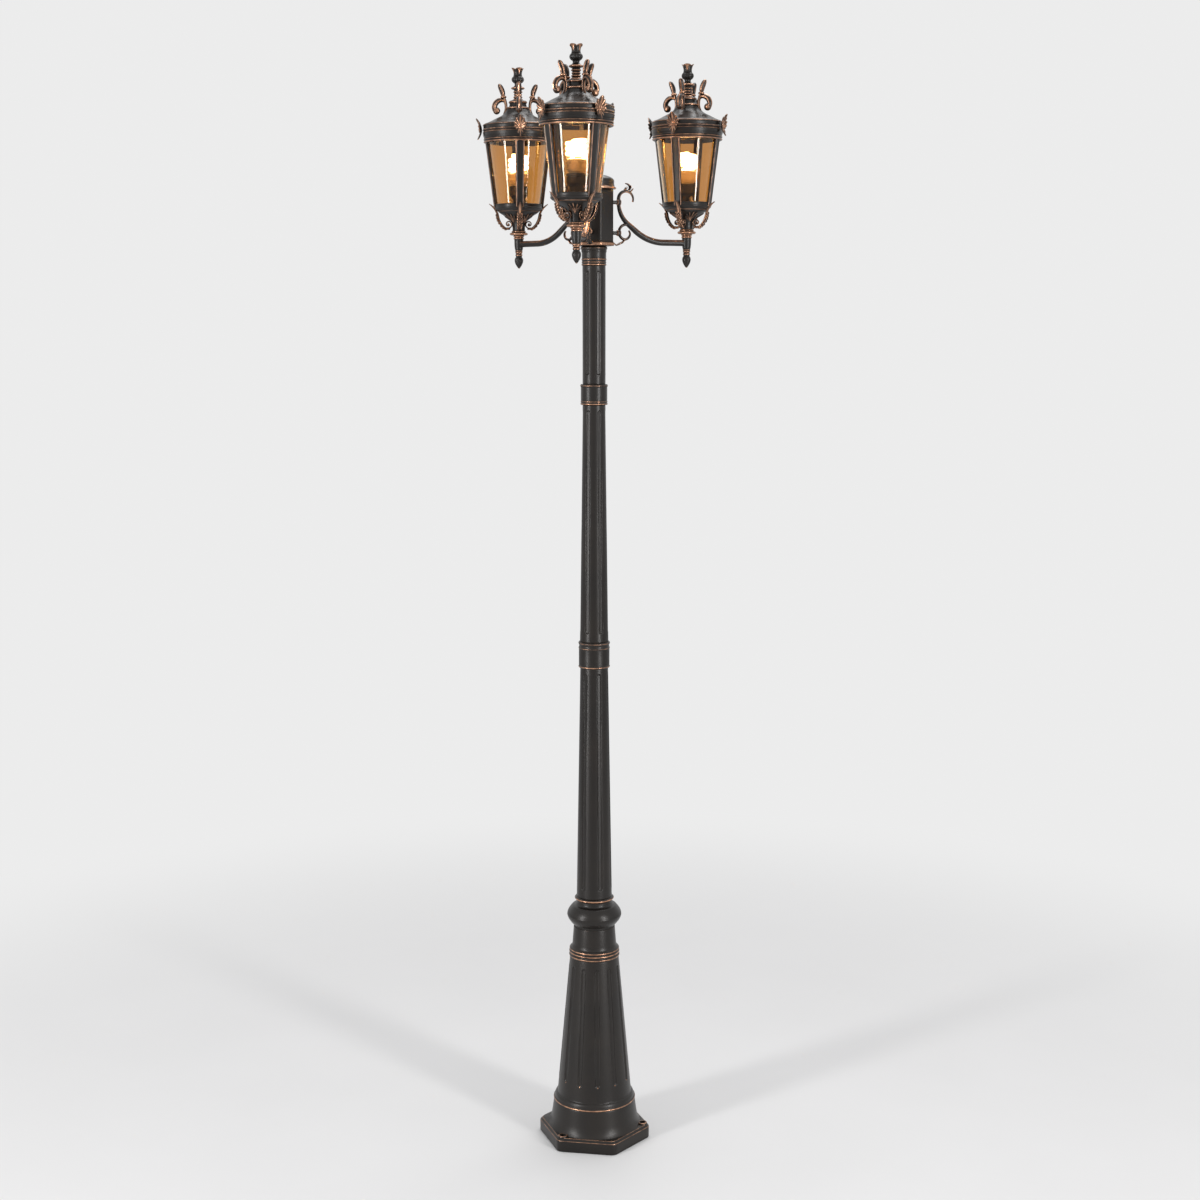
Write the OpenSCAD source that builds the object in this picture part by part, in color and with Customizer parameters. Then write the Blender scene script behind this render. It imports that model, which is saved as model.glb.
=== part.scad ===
// Three-lantern garden lamp post in cast aluminium. Sizes are in millimetres.
// The ground is z = 0, the post stands on the origin and the front arm points along -Y.

/* [Foot plate] */
// Corner radius of the hexagonal foot plate
plate_r = 124; // [119:1:136]
// Thickness of the foot plate
plate_t = 30; // [22:1:38]
// Bevel along the top edge of the foot plate
plate_bevel = 5; // [2:0.5:8]
// How much the round trim takes off each corner of the plate
corner_trim = 2.5; // [1:0.5:4]
// Radius of the circle of bolt holes
bolt_circle_r = 107; // [105:0.5:110]
// Radius of each bolt hole
bolt_hole_r = 6; // [4:0.5:7]
// Radius of the raised boss round each bolt hole
bolt_boss_r = 10; // [9:0.5:11]
// Height of the raised boss round each bolt hole
bolt_boss_h = 3; // [1:0.5:5]

/* [Base casting] */
// Height of the base casting, ground to collar
base_h = 478; // [440:1:540]
// Wall of the base casting
base_wall = 6; // [4:0.5:9]
// Radius of the skirt above the foot plate
skirt_r = 94; // [92:0.5:97]
// Radius of the flared foot of the skirt, past the skirt itself
skirt_flare = 8; // [4:0.5:10]
// Radius of the plain band above the skirt
band_r = 88.3; // [86:0.1:91]
// Height of the top edge of the plain band
band_top_z = 86; // [76:1:92]
// Radius at the foot of the fluted cone
cone_foot_r = 80.5; // [76:0.5:84]
// Height of the foot of the fluted cone
cone_foot_z = 101; // [98:1:112]
// Radius at the top of the fluted cone
cone_top_r = 53.2; // [51:0.1:58]
// Distance from the top of the cone to the top of the casting
neck_h = 73; // [66:1:84]
// Radius of the neck above the cone
neck_r = 44.5; // [43:0.5:48]
// How far the ring between cone and neck stands out
neck_ring_out = 3; // [1:0.5:5]
// Number of flutes round the cone
cone_flutes = 12; // [6:1:18]
// Distance from each end of the cone to the flutes
cone_flute_margin = 40; // [20:1:60]

/* [Fluting] */
// Width of every flute
flute_w = 10; // [6:0.5:12]
// Depth of every flute
flute_depth = 1.8; // [1:0.1:2.2]
// Number of flutes round each tube
tube_flutes = 6; // [4:1:8]
// Distance from the foot of each tube to its flutes
flute_foot = 20; // [14:1:40]
// Distance from the head of each tube to its flutes
flute_head = 14; // [10:1:30]

/* [Base collar] */
// Height of the collar between base casting and lower tube
collar_h = 67; // [62:1:80]
// Largest radius of the collar
collar_r = 58.6; // [54:0.2:64]
// Radius of the collar's top ring
collar_ring_r = 42.5; // [40:0.5:46]

/* [Tubes] */
// Visible length of the lower tube
lower_tube_h = 503; // [300:1:700]
// Radius at the foot of the lower tube
lower_tube_foot_r = 38; // [36.5:0.1:39]
// Radius at the head of the lower tube
lower_tube_head_r = 29.5; // [29:0.1:32]
// Visible length of the middle tube
middle_tube_h = 499; // [300:1:700]
// Radius at the foot of the middle tube
middle_tube_foot_r = 30.1; // [29.5:0.1:31.5]
// Radius at the head of the middle tube
middle_tube_head_r = 23.9; // [23.6:0.1:26]
// Visible length of the upper tube
upper_tube_h = 242; // [160:1:400]
// Radius of the upper tube
upper_tube_r = 23.9; // [23.6:0.1:25]
// Wall of the tubes
tube_wall = 4.5; // [4:0.1:5.5]

/* [Couplings] */
// Height of the lower coupling
lower_coupling_h = 56; // [50:1:80]
// Body radius of the lower coupling
lower_coupling_r = 32.5; // [32:0.1:35]
// Height of the upper coupling
upper_coupling_h = 43; // [40:1:70]
// Body radius of the upper coupling
upper_coupling_r = 27.6; // [26.5:0.1:30]
// Height of the collar under the junction box
top_collar_h = 40; // [36:1:60]
// Waist radius of the collar under the junction box
top_collar_r = 25.2; // [24.5:0.1:28]
// How far the rings of every coupling stand out
ring_out = 1.2; // [0.6:0.1:2]
// Depth of every screwed joint along the post
joint_depth = 20; // [14:1:24]
// Radius of the cable way through every joint
cable_r = 14; // [11:0.5:15]

/* [Junction box] */
// Height of the junction box
box_h = 114; // [104:1:150]
// Corner radius of the hexagonal junction box
box_r = 41; // [39:0.5:46]
// Wall of the junction box
box_wall = 4; // [3:0.5:5]
// Height of the flange under the junction box
box_flange_h = 9; // [5:1:12]
// How far the flange stands out
box_flange_out = 2; // [1:0.5:4]
// Height of the domed cap
cap_h = 30; // [24:1:45]
// Radius of the lip of the domed cap
cap_lip_r = 45.4; // [44:0.2:50]
// Radius of the band of the domed cap
cap_band_r = 41.5; // [38:0.5:44]
// Wall of the domed cap
cap_wall = 3; // [2:0.5:4]
// Depth of the cap's skirt inside the box
cap_skirt_h = 10; // [6:1:14]

/* [Arms] */
// Distance from the post's axis to a lantern's axis
arm_reach = 207; // [190:1:230]
// Height of an arm's centre line above the foot of the junction box
arm_rise = 9; // [6:1:16]
// Distance from a lantern's axis to the place where its arm starts to rise
arm_run = 52; // [46:1:60]
// Half thickness of an arm at the lantern
arm_half_t = 6.5; // [5:0.1:7.5]
// Half thickness of an arm at its hook
arm_hook_t = 1.6; // [1.2:0.1:2.4]
// Radius of an arm's hook
hook_r = 16; // [14:0.5:18]
// Height of the hook's centre above the upper nipple
hook_rise = 7; // [4:1:10]
// Radius of the scroll under an arm
scroll_r = 15.5; // [14:0.5:17]
// Distance from the junction box to the middle of an arm's bosses
boss_gap = 18.7; // [16:0.1:20]
// Radius of the hub at the arm's end
hub_r = 9.6; // [8.5:0.1:12]
// Height of the hub at the arm's end
hub_h = 35; // [30:1:40]
// Radius of the threaded nipples
nipple_r = 4; // [3:0.1:4.5]
// Radius of the way through the nipples
nipple_bore_r = 2.6; // [1.5:0.1:2.8]
// Height of the upper nipple above the lower one
nipple_rise = 62; // [56:1:68]
// Distance across the flats of the lock nuts
nut_flats = 13; // [12:0.5:14]
// Thickness of the lock nuts
nut_t = 5; // [3:0.5:6]

/* [Lantern bowl] */
// Radius of the collar under the bowl
bowl_collar_r = 19.5; // [17:0.5:22]
// Height of the collar under the bowl
bowl_collar_h = 12; // [10:1:14]
// Radius of the core of the bowl
bowl_core_r = 13; // [12:0.5:15]
// Radius of the rim of the bowl
bowl_rim_r = 44; // [42:0.5:46]
// Height of the bowl with its collar
bowl_h = 54; // [50:1:60]
// Wall of the bowl
bowl_wall = 3; // [2:0.5:3.5]
// Height of the drop finial
drop_h = 31; // [26:1:40]
// Largest radius of the drop finial
drop_r = 9.5; // [8:0.5:12]

/* [Lantern cage and glass] */
// Outer radius of the cage's lower ring
low_ring_r = 51; // [50:0.5:54]
// Height of the cage's lower ring
low_ring_h = 14; // [10:1:18]
// Outer radius of the glass at its foot
glass_foot_r = 46.5; // [45.5:0.1:47]
// Outer radius of the glass at its head
glass_head_r = 65; // [62:0.5:65.2]
// Height of the glass panes
glass_h = 146; // [120:1:180]
// Thickness of the glass panes
glass_t = 3; // [2:0.5:4]
// Angle between neighbouring panes
pane_gap = 4; // [2:0.5:6]
// Width of a cage strap at its foot
strap_foot_w = 16; // [12:0.5:18]
// Width of a cage strap at its head
strap_head_w = 20; // [16:0.5:24]
// Thickness of the cage straps
strap_t = 5; // [3:0.5:6]
// Inner radius of the cage's upper ring
top_ring_in_r = 66; // [65.6:0.1:67]
// Outer radius of the rim mouldings
rim_r = 75; // [73.5:0.5:80]
// Height of the cage's upper ring
top_ring_h = 22.7; // [18:0.1:30]

/* [Lantern roof] */
// Height of the roof's rim above the upper ring
roof_rim_h = 17; // [12:1:24]
// Height of the roof's bell and neck
roof_bell_h = 48; // [44:1:60]
// Radius of the roof's neck
roof_neck_r = 19; // [18:0.5:21]
// Wall of the roof
roof_wall = 3; // [2:0.5:4]
// Depth of the lip inside the cage
roof_lip_h = 7.5; // [4:0.5:10]
// Height of the crown finial
crown_h = 66; // [56:1:80]
// Radius of the crown finial's bulb
crown_bulb_r = 13.5; // [11:0.5:16]

/* [Lamp] */
// Half distance between the bracket screws
screw_offset = 22; // [20.5:0.5:24]
// Radius of the bracket screws
screw_r = 2; // [1.5:0.1:2.4]
// Length of the holder bracket
bracket_len = 62; // [54:1:70]
// Width of the holder bracket
bracket_w = 14; // [10:1:18]
// Thickness of the holder bracket
bracket_t = 1.5; // [1:0.1:2.5]
// Height of the lampholder
holder_h = 36; // [34:1:44]
// Radius of the lampholder's body
holder_r = 19.5; // [17:0.5:20.5]
// Radius of the lampholder's foot
holder_foot_r = 14; // [12:0.5:15]
// Radius of the bulb's screw cap
bulb_cap_r = 13.2; // [12.8:0.1:13.4]
// Length of the bulb's screw cap
bulb_cap_h = 24; // [20:1:26]
// Radius of the ballast case
ballast_r = 21; // [18:0.5:24]
// Height of the ballast case
ballast_h = 26; // [22:1:36]
// Centre line radius of the spiral tube
spiral_r = 17.5; // [14:0.5:18]
// Radius of the tube that is wound
spiral_tube_r = 4.6; // [3.5:0.1:5]
// Height of the spiral
spiral_h = 38; // [30:1:50]
// Turns of the spiral
spiral_turns = 3; // [2:1:4]

/* [Fits] */
// Gap between pieces that lift apart
lift_gap = 0.3; // [0.2:0.05:0.5]
// Radial gap of every screwed or plugged joint
fit_gap = 0.15; // [0.1:0.05:0.3]
// Gap behind castings that are seated on a curved face
seat_gap = 0.1; // [0.05:0.05:0.2]

/* [Hidden] */

$fn = 72;
eps = 0.01;
front = 0;
right = 1;
left = 2;
lanterns = [front, right, left];
quarter_turns = [45, 135, 225, 315];

// Heights of the pieces along the post
collar_z = base_h;
lower_tube_z = collar_z + collar_h;
lower_coupling_z = lower_tube_z + lower_tube_h;
middle_tube_z = lower_coupling_z + lower_coupling_h;
upper_coupling_z = middle_tube_z + middle_tube_h;
upper_tube_z = upper_coupling_z + upper_coupling_h;
top_collar_z = upper_tube_z + upper_tube_h;
box_z = top_collar_z + top_collar_h;
cap_z = box_z + box_h;
cone_top_z = base_h - neck_h;

// Radii of the screwed joints along the post, from the walls beside them
base_joint_r = neck_r - base_wall;
collar_joint_r = lower_tube_foot_r - 2 * tube_wall + 1;
lower_joint_r = lower_tube_head_r - tube_wall - 1;
middle_joint_r = middle_tube_foot_r - tube_wall - 0.6;
upper_joint_r = min(middle_tube_head_r, upper_tube_r) - tube_wall;

// The junction box is a hexagon with a flat towards each arm
hex_flat = cos(30);
box_flat = box_r * hex_flat;
box_inner_r = box_r - box_wall / hex_flat;
box_inner_flat = box_flat - box_wall;

// Nipples and nuts
lower_nipple_z = box_z + 27;
upper_nipple_z = lower_nipple_z + nipple_rise;
arm_out = box_flat + boss_gap;
nipple_in = box_inner_flat - nut_t - 2;
nipple_out = arm_out + 1.5;
nut_r = nut_flats / 2 / hex_flat;

// An arm runs from the hub along a flat arc, a slope and a steeper arc up to its hook
arm_z = box_z + arm_rise;
arm_slope = 40;
foot_arc_r = 98.5;
head_arc_r = 55.5;
hook_z = upper_nipple_z + hook_rise;
foot_arc_at = arm_reach - arm_run;
boss_r = nipple_r + 2;
boss_half = 4;

// Heights inside a lantern, measured from the head of the arm's hub
lantern_z = arm_z + 15;
hub_z = -hub_h;
low_ring_z = bowl_h;
glass_z = bowl_h + 3;
glass_head_z = glass_z + glass_h;
top_ring_z = glass_head_z - 9;
top_ring_top_z = top_ring_z + top_ring_h;
roof_z = top_ring_top_z + lift_gap;
bell_z = roof_z + roof_rim_h;
neck_top_z = bell_z + roof_bell_h;
bracket_z = low_ring_z + low_ring_h;
holder_z = bracket_z + bracket_t;
holder_top_z = holder_z + holder_h;
ballast_z = holder_top_z + 2;
spiral_z = ballast_z + ballast_h;
cap_play = 0.5;
glass_lean = (glass_head_r - glass_foot_r) / glass_h;

function glass_r(z) = glass_foot_r + glass_lean * (z - glass_z);

// Half round moulding on a turned profile: it starts at radius r and height z and stands out
function bead(r, z, h, out, n = 6) =
    [for (i = [0 : n]) [r + out * sin(180 * i / n), z + h * i / n]];

// Quarter round hollow from [r0, z0] to [r1, z1], flat at its start and upright at its end
function cove(r0, z0, r1, z1, n = 5) =
    [for (i = [0 : n]) [r0 + (r1 - r0) * sin(90 * i / n), z0 + (z1 - z0) * (1 - cos(90 * i / n))]];

// Point t of the way from row i to row i + 1 on a smooth curve through rows of numbers
function smooth_at(rows, i, t) =
    let (last = len(rows) - 1, a = rows[max(i - 1, 0)], b = rows[i],
         c = rows[min(i + 1, last)], d = rows[min(i + 2, last)])
    0.5 * (2 * b + (c - a) * t + (2 * a - 5 * b + 4 * c - d) * t * t
        + (3 * b - a - 3 * c + d) * t * t * t);

// Smooth curve through rows, with n steps between neighbours
function smooth(rows, n = 2) =
    concat([for (i = [0 : len(rows) - 2]) for (k = [0 : n - 1]) smooth_at(rows, i, k / n)],
        [rows[len(rows) - 1]]);

function unit(v) = v / norm(v);

// Direction of a path of [r, z, ...] rows at row i
function heading(path, i) =
    let (a = path[max(i - 1, 0)], b = path[min(i + 1, len(path) - 1)])
    unit([b[0] - a[0], b[1] - a[1]]);

// Tapered bar along a path in the plane of an arm or bracket.
// Each row is [r, z, half thickness, half width], with r along -Y.
module bar(path, sides = 8) {
    rings = len(path);
    points = [for (i = [0 : rings - 1]) let (d = heading(path, i))
        for (k = [0 : sides - 1]) let (a = 360 * (k + 0.5) / sides, s = path[i][2] * cos(a))
            [path[i][3] * sin(a), -(path[i][0] - d[1] * s), path[i][1] + d[0] * s]];
    skin = [for (i = [0 : rings - 2]) for (k = [0 : sides - 1])
        let (a = i * sides + k, b = i * sides + (k + 1) % sides)
            [a, b, b + sides, a + sides]];
    ends = [[for (k = [sides - 1 : -1 : 0]) k], [for (k = [0 : sides - 1]) (rings - 1) * sides + k]];
    polyhedron(points, concat(skin, ends));
}

module turned(profile) {
    rotate_extrude()
        polygon(profile);
}

module on_arm(which) {
    rotate([0, 0, 120 * which])
        children();
}

module on_lantern(which) {
    on_arm(which)
        translate([0, -arm_reach, lantern_z])
            children();
}

// Cylinder along an arm's direction, between two distances from the post
module along_arm(r, from, to, z) {
    translate([0, -to, z])
        rotate([-90, 0, 0])
            cylinder(h = to - from, r = r);
}

// Round ended cutter for one flute, on a surface that leans from [r0, z0] to [r1, z1]
module flute_cutter(r0, z0, r1, z1) {
    cut_r = flute_w * flute_w / (8 * flute_depth) + flute_depth / 2;
    stand_off = cut_r - flute_depth;
    lean = atan2(r1 - r0, z1 - z0);
    length = norm([r1 - r0, z1 - z0]);
    translate([r0 + stand_off, 0, z0])
        rotate([0, lean, 0]) {
            cylinder(h = length, r = cut_r);
            sphere(r = cut_r);
            translate([0, 0, length])
                sphere(r = cut_r);
        }
}

function lean_r(foot_r, head_r, h, z) = foot_r + (head_r - foot_r) * z / h;

// Hollow tube with flutes, a screwed spigot below and a socket above
module fluted_tube(z, h, foot_r, head_r, spigot_r, socket_r, turn) {
    low = flute_foot;
    high = h - flute_head;
    translate([0, 0, z])
        difference() {
            turned([[cable_r, -joint_depth], [spigot_r - fit_gap, -joint_depth], [spigot_r - fit_gap, 0],
                [foot_r, 0], [head_r, h], [socket_r, h], [socket_r, h - joint_depth - lift_gap],
                [head_r - tube_wall, h - 2 * joint_depth], [foot_r - tube_wall, tube_wall + 8],
                [cable_r, tube_wall]]);
            for (k = [0 : tube_flutes - 1])
                rotate([0, 0, turn + 360 * k / tube_flutes])
                    flute_cutter(lean_r(foot_r, head_r, h, low), low, lean_r(foot_r, head_r, h, high), high);
        }
}

// Turned coupling: outer is its profile from foot to head, measured from its own foot
module coupling(z, h, outer, spigot_r, socket_r) {
    translate([0, 0, z])
        turned(concat([[cable_r, -joint_depth], [spigot_r - fit_gap, -joint_depth],
            [spigot_r - fit_gap, 0]], outer, [[socket_r, h], [socket_r, h - joint_depth - lift_gap],
            [cable_r, h - joint_depth - lift_gap]]));
}

module foot_plate() {
    intersection() {
        union() {
            cylinder(h = plate_t - plate_bevel, r = plate_r, $fn = 6);
            translate([0, 0, plate_t - plate_bevel])
                cylinder(h = plate_bevel, r1 = plate_r, r2 = plate_r - plate_bevel, $fn = 6);
        }
        cylinder(h = plate_t, r = plate_r - corner_trim);
    }
    for (k = [0 : 2])
        rotate([0, 0, 120 * k])
            translate([bolt_circle_r, 0, plate_t - eps])
                cylinder(h = bolt_boss_h, r = bolt_boss_r);
}

module base_shell() {
    turned(concat(
        [[0, plate_t / 2], [skirt_r + skirt_flare, plate_t / 2]],
        cove(skirt_r + skirt_flare, plate_t, skirt_r, plate_t + 12),
        [[band_r + 2.4, band_top_z - 24], [band_r, band_top_z - 20], [band_r, band_top_z]],
        bead(band_r - 3.6, band_top_z, 9, 2.4),
        [[cone_foot_r, cone_foot_z], [cone_top_r, cone_top_z]],
        bead(cone_top_r - 0.2, cone_top_z + 2, 9, neck_ring_out - 1.2),
        bead(cone_top_r - 0.4, cone_top_z + 13, 13, neck_ring_out),
        cove(cone_top_r - 2, cone_top_z + 27, neck_r + 3, cone_top_z + 34),
        [[neck_r, base_h], [0, base_h]]));
}

module base_hollow() {
    top = base_h - joint_depth - 2 * base_wall;
    turned([[0, -1], [band_r - base_wall, -1], [band_r - base_wall, band_top_z],
        [cone_foot_r - base_wall, cone_foot_z], [cone_top_r - base_wall, cone_top_z],
        [base_joint_r, top], [base_joint_r, base_h + 1], [0, base_h + 1]]);
}

module base_casting() {
    color("#241f1b")
        difference() {
            union() {
                foot_plate();
                base_shell();
            }
            base_hollow();
            for (k = [0 : 2])
                rotate([0, 0, 120 * k])
                    translate([bolt_circle_r, 0, -1])
                        cylinder(h = plate_t + skirt_flare + 20, r = bolt_hole_r);
            for (k = [0 : cone_flutes - 1])
                rotate([0, 0, 360 * (k + 0.5) / cone_flutes])
                    cone_flute();
        }
}

module cone_flute() {
    low = cone_foot_z + cone_flute_margin;
    high = cone_top_z - cone_flute_margin / 4;
    cone_h = cone_top_z - cone_foot_z;
    flute_cutter(lean_r(cone_foot_r, cone_top_r, cone_h, low - cone_foot_z), low,
        lean_r(cone_foot_r, cone_top_r, cone_h, high - cone_foot_z), high);
}

module base_collar() {
    groove_r = neck_r - 1.6;
    torus_foot_r = collar_r - 11;
    waist_r = lower_tube_foot_r;
    color("#241f1b")
        coupling(collar_z, collar_h,
            concat([[groove_r, 0], [groove_r, 5]],
                bead(torus_foot_r, 6, 41, collar_r - torus_foot_r, 12),
                cove(torus_foot_r - 4, 48, waist_r, 53),
                [[waist_r, collar_h - 9]],
                bead(waist_r, collar_h - 8, 8, collar_ring_r - waist_r)),
            base_joint_r, collar_joint_r);
}

module lower_tube() {
    color("#241f1b")
        fluted_tube(lower_tube_z, lower_tube_h, lower_tube_foot_r, lower_tube_head_r,
            collar_joint_r, lower_joint_r, 0);
}

module lower_coupling() {
    color("#241f1b")
        coupling(lower_coupling_z, lower_coupling_h,
            concat(bead(lower_coupling_r - 0.2, 0, 5, ring_out),
                [[lower_coupling_r, 7], [lower_coupling_r, lower_coupling_h - 16]],
                bead(lower_coupling_r, lower_coupling_h - 15, 3.5, ring_out * 0.7),
                [[lower_coupling_r - 0.8, lower_coupling_h - 9]],
                bead(lower_coupling_r - 0.2, lower_coupling_h - 6, 6, ring_out)),
            lower_joint_r, middle_joint_r);
}

module middle_tube() {
    color("#241f1b")
        fluted_tube(middle_tube_z, middle_tube_h, middle_tube_foot_r, middle_tube_head_r,
            middle_joint_r, upper_joint_r, 9);
}

module upper_coupling() {
    color("#241f1b")
        coupling(upper_coupling_z, upper_coupling_h,
            concat(bead(upper_coupling_r - 0.2, 0, 4, ring_out),
                bead(upper_coupling_r - 0.4, 5, 4, ring_out),
                [[upper_coupling_r, 11], [upper_coupling_r, upper_coupling_h - 8]],
                bead(upper_coupling_r - 0.2, upper_coupling_h - 6, 6, ring_out)),
            upper_joint_r, upper_joint_r);
}

module upper_tube() {
    color("#241f1b")
        fluted_tube(upper_tube_z, upper_tube_h, upper_tube_r, upper_tube_r,
            upper_joint_r, upper_joint_r, 3);
}

module top_collar() {
    color("#241f1b")
        coupling(top_collar_z, top_collar_h,
            concat(bead(top_collar_r - 0.6, 0, 4, ring_out),
                bead(top_collar_r - 0.6, 5, 4, ring_out),
                bead(top_collar_r - 0.2, 11, 4, ring_out),
                [[top_collar_r, 17], [top_collar_r + 0.4, top_collar_h - 12]],
                bead(top_collar_r + 0.4, top_collar_h - 10, 8, ring_out * 1.6)),
            upper_joint_r, upper_joint_r);
}

// Hexagonal prism with a flat towards each arm
module hex_bar(r, z, h) {
    translate([0, 0, z])
        cylinder(h = h, r = r, $fn = 6);
}

module junction_box() {
    floor_t = box_wall + 2;
    color("#241f1b")
        difference() {
            union() {
                hex_bar(box_r, box_z, box_h);
                hex_bar(box_r + box_flange_out, box_z, box_flange_h);
                translate([0, 0, box_z - joint_depth])
                    cylinder(h = joint_depth + eps, r = upper_joint_r - fit_gap);
            }
            hex_bar(box_inner_r, box_z + floor_t, box_h);
            translate([0, 0, box_z - joint_depth - 1])
                cylinder(h = joint_depth + floor_t + 2, r = cable_r);
            for (which = lanterns, z = [lower_nipple_z, upper_nipple_z])
                on_arm(which)
                    along_arm(nipple_r + fit_gap, box_inner_flat - 1, box_flat + 1, z);
        }
}

module box_cap() {
    skirt_r = box_inner_flat - lift_gap;
    dome_z = 16;
    low = cap_z + lift_gap;
    rise = cap_h - dome_z;
    color("#7a4a22")
        translate([0, 0, low])
            turned(concat(
                [[skirt_r, -cap_skirt_h], [skirt_r, 0], [cap_lip_r, 0], [cap_lip_r, 4],
                    [cap_band_r, 5.5]],
                [for (a = [0 : 10 : 90]) [cap_band_r * cos(a), dome_z + rise * sin(a)]],
                [for (a = [90 : -10 : 0])
                    [(cap_band_r - cap_wall) * cos(a), dome_z + (rise - cap_wall) * sin(a)]],
                [[skirt_r - cap_wall, 4], [skirt_r - cap_wall, -cap_skirt_h]]));
}

// The terminal block and the earth stud hang on box walls that face away from the arms
terminal_w = 30;
terminal_d = 14;
terminal_h = 34;
terminal_z = box_z + 40;
terminal_screw_r = 2;

module terminal_block() {
    color("#d8d4c8")
        difference() {
            translate([-terminal_w / 2, box_inner_flat - terminal_d, terminal_z])
                cube([terminal_w, terminal_d, terminal_h]);
            for (x = [-10, 0, 10], z = [9, terminal_h - 9])
                translate([x, box_inner_flat - terminal_d - 1, terminal_z + z])
                    rotate([-90, 0, 0])
                        cylinder(h = 7, r = terminal_screw_r + fit_gap);
        }
}

module terminal_screws() {
    color("#b9964a")
        for (x = [-10, 0, 10], z = [9, terminal_h - 9])
            translate([x, box_inner_flat - terminal_d - 0.5, terminal_z + z])
                rotate([-90, 0, 0])
                    cylinder(h = 6.5, r = terminal_screw_r);
}

module earth_stud() {
    stud_r = 2.5;
    color("#b9964a")
        rotate([0, 0, 120])
            translate([0, 0, box_z + 60]) {
                translate([0, box_inner_flat - 3, 0])
                    rotate([-90, 0, 0])
                        cylinder(h = 3, r = 4.6, $fn = 6);
                translate([0, box_inner_flat - 12, 0])
                    rotate([-90, 0, 0])
                        cylinder(h = 12, r = stud_r);
            }
}

module arm_nipples() {
    color("#8d8478")
        for (which = lanterns, z = [lower_nipple_z, upper_nipple_z])
            on_arm(which)
                difference() {
                    along_arm(nipple_r, nipple_in, nipple_out, z);
                    along_arm(nipple_bore_r, nipple_in - 1, nipple_out + 1, z);
                }
}

module lock_nut() {
    difference() {
        cylinder(h = nut_t, r = nut_r, $fn = 6);
        translate([0, 0, -1])
            cylinder(h = nut_t + 2, r = nipple_r + fit_gap / 2);
    }
}

module lock_nuts() {
    color("#8d8478")
        for (which = lanterns) {
            for (z = [lower_nipple_z, upper_nipple_z])
                on_arm(which)
                    translate([0, -box_inner_flat, z])
                        rotate([-90, 0, 0])
                            lock_nut();
            on_lantern(which)
                translate([0, 0, bowl_floor_z])
                    lock_nut();
        }
}

// Centre line rows of an arm, from its hub to the tip of its hook
function arc_rows(r, z, radius, a0, a1, n, t0, t1) =
    [for (i = [0 : n]) let (a = a0 + (a1 - a0) * i / n, t = t0 + (t1 - t0) * i / n)
        [r + radius * cos(a), z + radius * sin(a), t, t * 1.05]];

arm_low_t = arm_half_t - 0.3;
arm_mid_t = arm_half_t - 1.2;
arm_high_t = arm_half_t - 2.6;
head_arc_at = arm_out + head_arc_r;

arm_rows = concat(
    [[arm_reach - hub_r + 2, arm_z, arm_half_t, arm_half_t]],
    arc_rows(foot_arc_at, arm_z + foot_arc_r, foot_arc_r, 270, 270 - arm_slope, 8, arm_half_t, arm_low_t),
    arc_rows(head_arc_at, upper_nipple_z, head_arc_r, 270 - arm_slope, 180, 8, arm_mid_t, arm_high_t),
    arc_rows(arm_out + hook_r, hook_z, hook_r, 180, -20, 14, arm_high_t, arm_hook_t));

// The scroll under an arm, a circle that tightens after its lowest point
scroll_at = arm_out + scroll_r + 0.8;
scroll_rows = [for (a = [75 : 15 : 390])
    let (r = scroll_r - max(0, a - 250) * 0.065, t = 2.8 - max(0, a - 250) * 0.009)
        [scroll_at + r * cos(a), lower_nipple_z + 2 + r * sin(a), t, t * 1.5]];

// Leaves of an arm, each as [r, z, half thickness, half width] from root to tip
hook_top = arm_out + hook_r;
crown_leaf = [[hook_top + 3, hook_z + 15, 2.4, 3.4], [hook_top + 8, hook_z + 21, 2.2, 3.6],
    [hook_top + 8, hook_z + 27, 1.9, 3.2], [hook_top + 3.5, hook_z + 30.5, 1.4, 2.4],
    [hook_top - 2, hook_z + 31.5, 0.8, 1]];
small_leaf = [[hook_top + 8, hook_z + 13.5, 1.8, 2.6], [hook_top + 12, hook_z + 17, 1.5, 2.4],
    [hook_top + 16.5, hook_z + 22, 0.7, 0.9]];
chin_leaf = [[scroll_at - 1, lower_nipple_z - 13.5, 2, 3.4], [scroll_at - 9, lower_nipple_z - 19, 1.9, 3.6],
    [scroll_at - 16, lower_nipple_z - 23, 1.7, 3.2], [scroll_at - 22, lower_nipple_z - 24, 1.4, 2.4],
    [scroll_at - 26, lower_nipple_z - 20, 0.8, 1]];

module hub() {
    translate([0, -arm_reach, lantern_z + hub_z])
        turned(concat([[0, 0]], bead(hub_r - 3, 0, 4, 1.4), bead(hub_r - 2.4, 4, 3, 1),
            [[hub_r - 1.2, 9], [hub_r, hub_h - 10]], bead(hub_r, hub_h - 5, 5, 1.4), [[0, hub_h]]));
}

module arm(which) {
    color("#2c2119")
        on_arm(which)
            difference() {
                union() {
                    bar(arm_rows);
                    bar(scroll_rows, 6);
                    bar(smooth(crown_leaf, 2), 6);
                    bar(smooth(small_leaf, 2), 6);
                    bar(smooth(chin_leaf, 2), 6);
                    hub();
                    along_arm(boss_r, arm_out - boss_half, arm_out + boss_half, upper_nipple_z);
                    along_arm(boss_r, arm_out - boss_half, arm_out + boss_half, lower_nipple_z);
                }
                for (z = [lower_nipple_z, upper_nipple_z])
                    along_arm(nipple_r + fit_gap, arm_out - boss_half - 1, nipple_out, z);
                translate([0, -arm_reach, lantern_z - hub_h - 1])
                    cylinder(h = hub_h + 2, r = nipple_r + fit_gap);
            }
}

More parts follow.
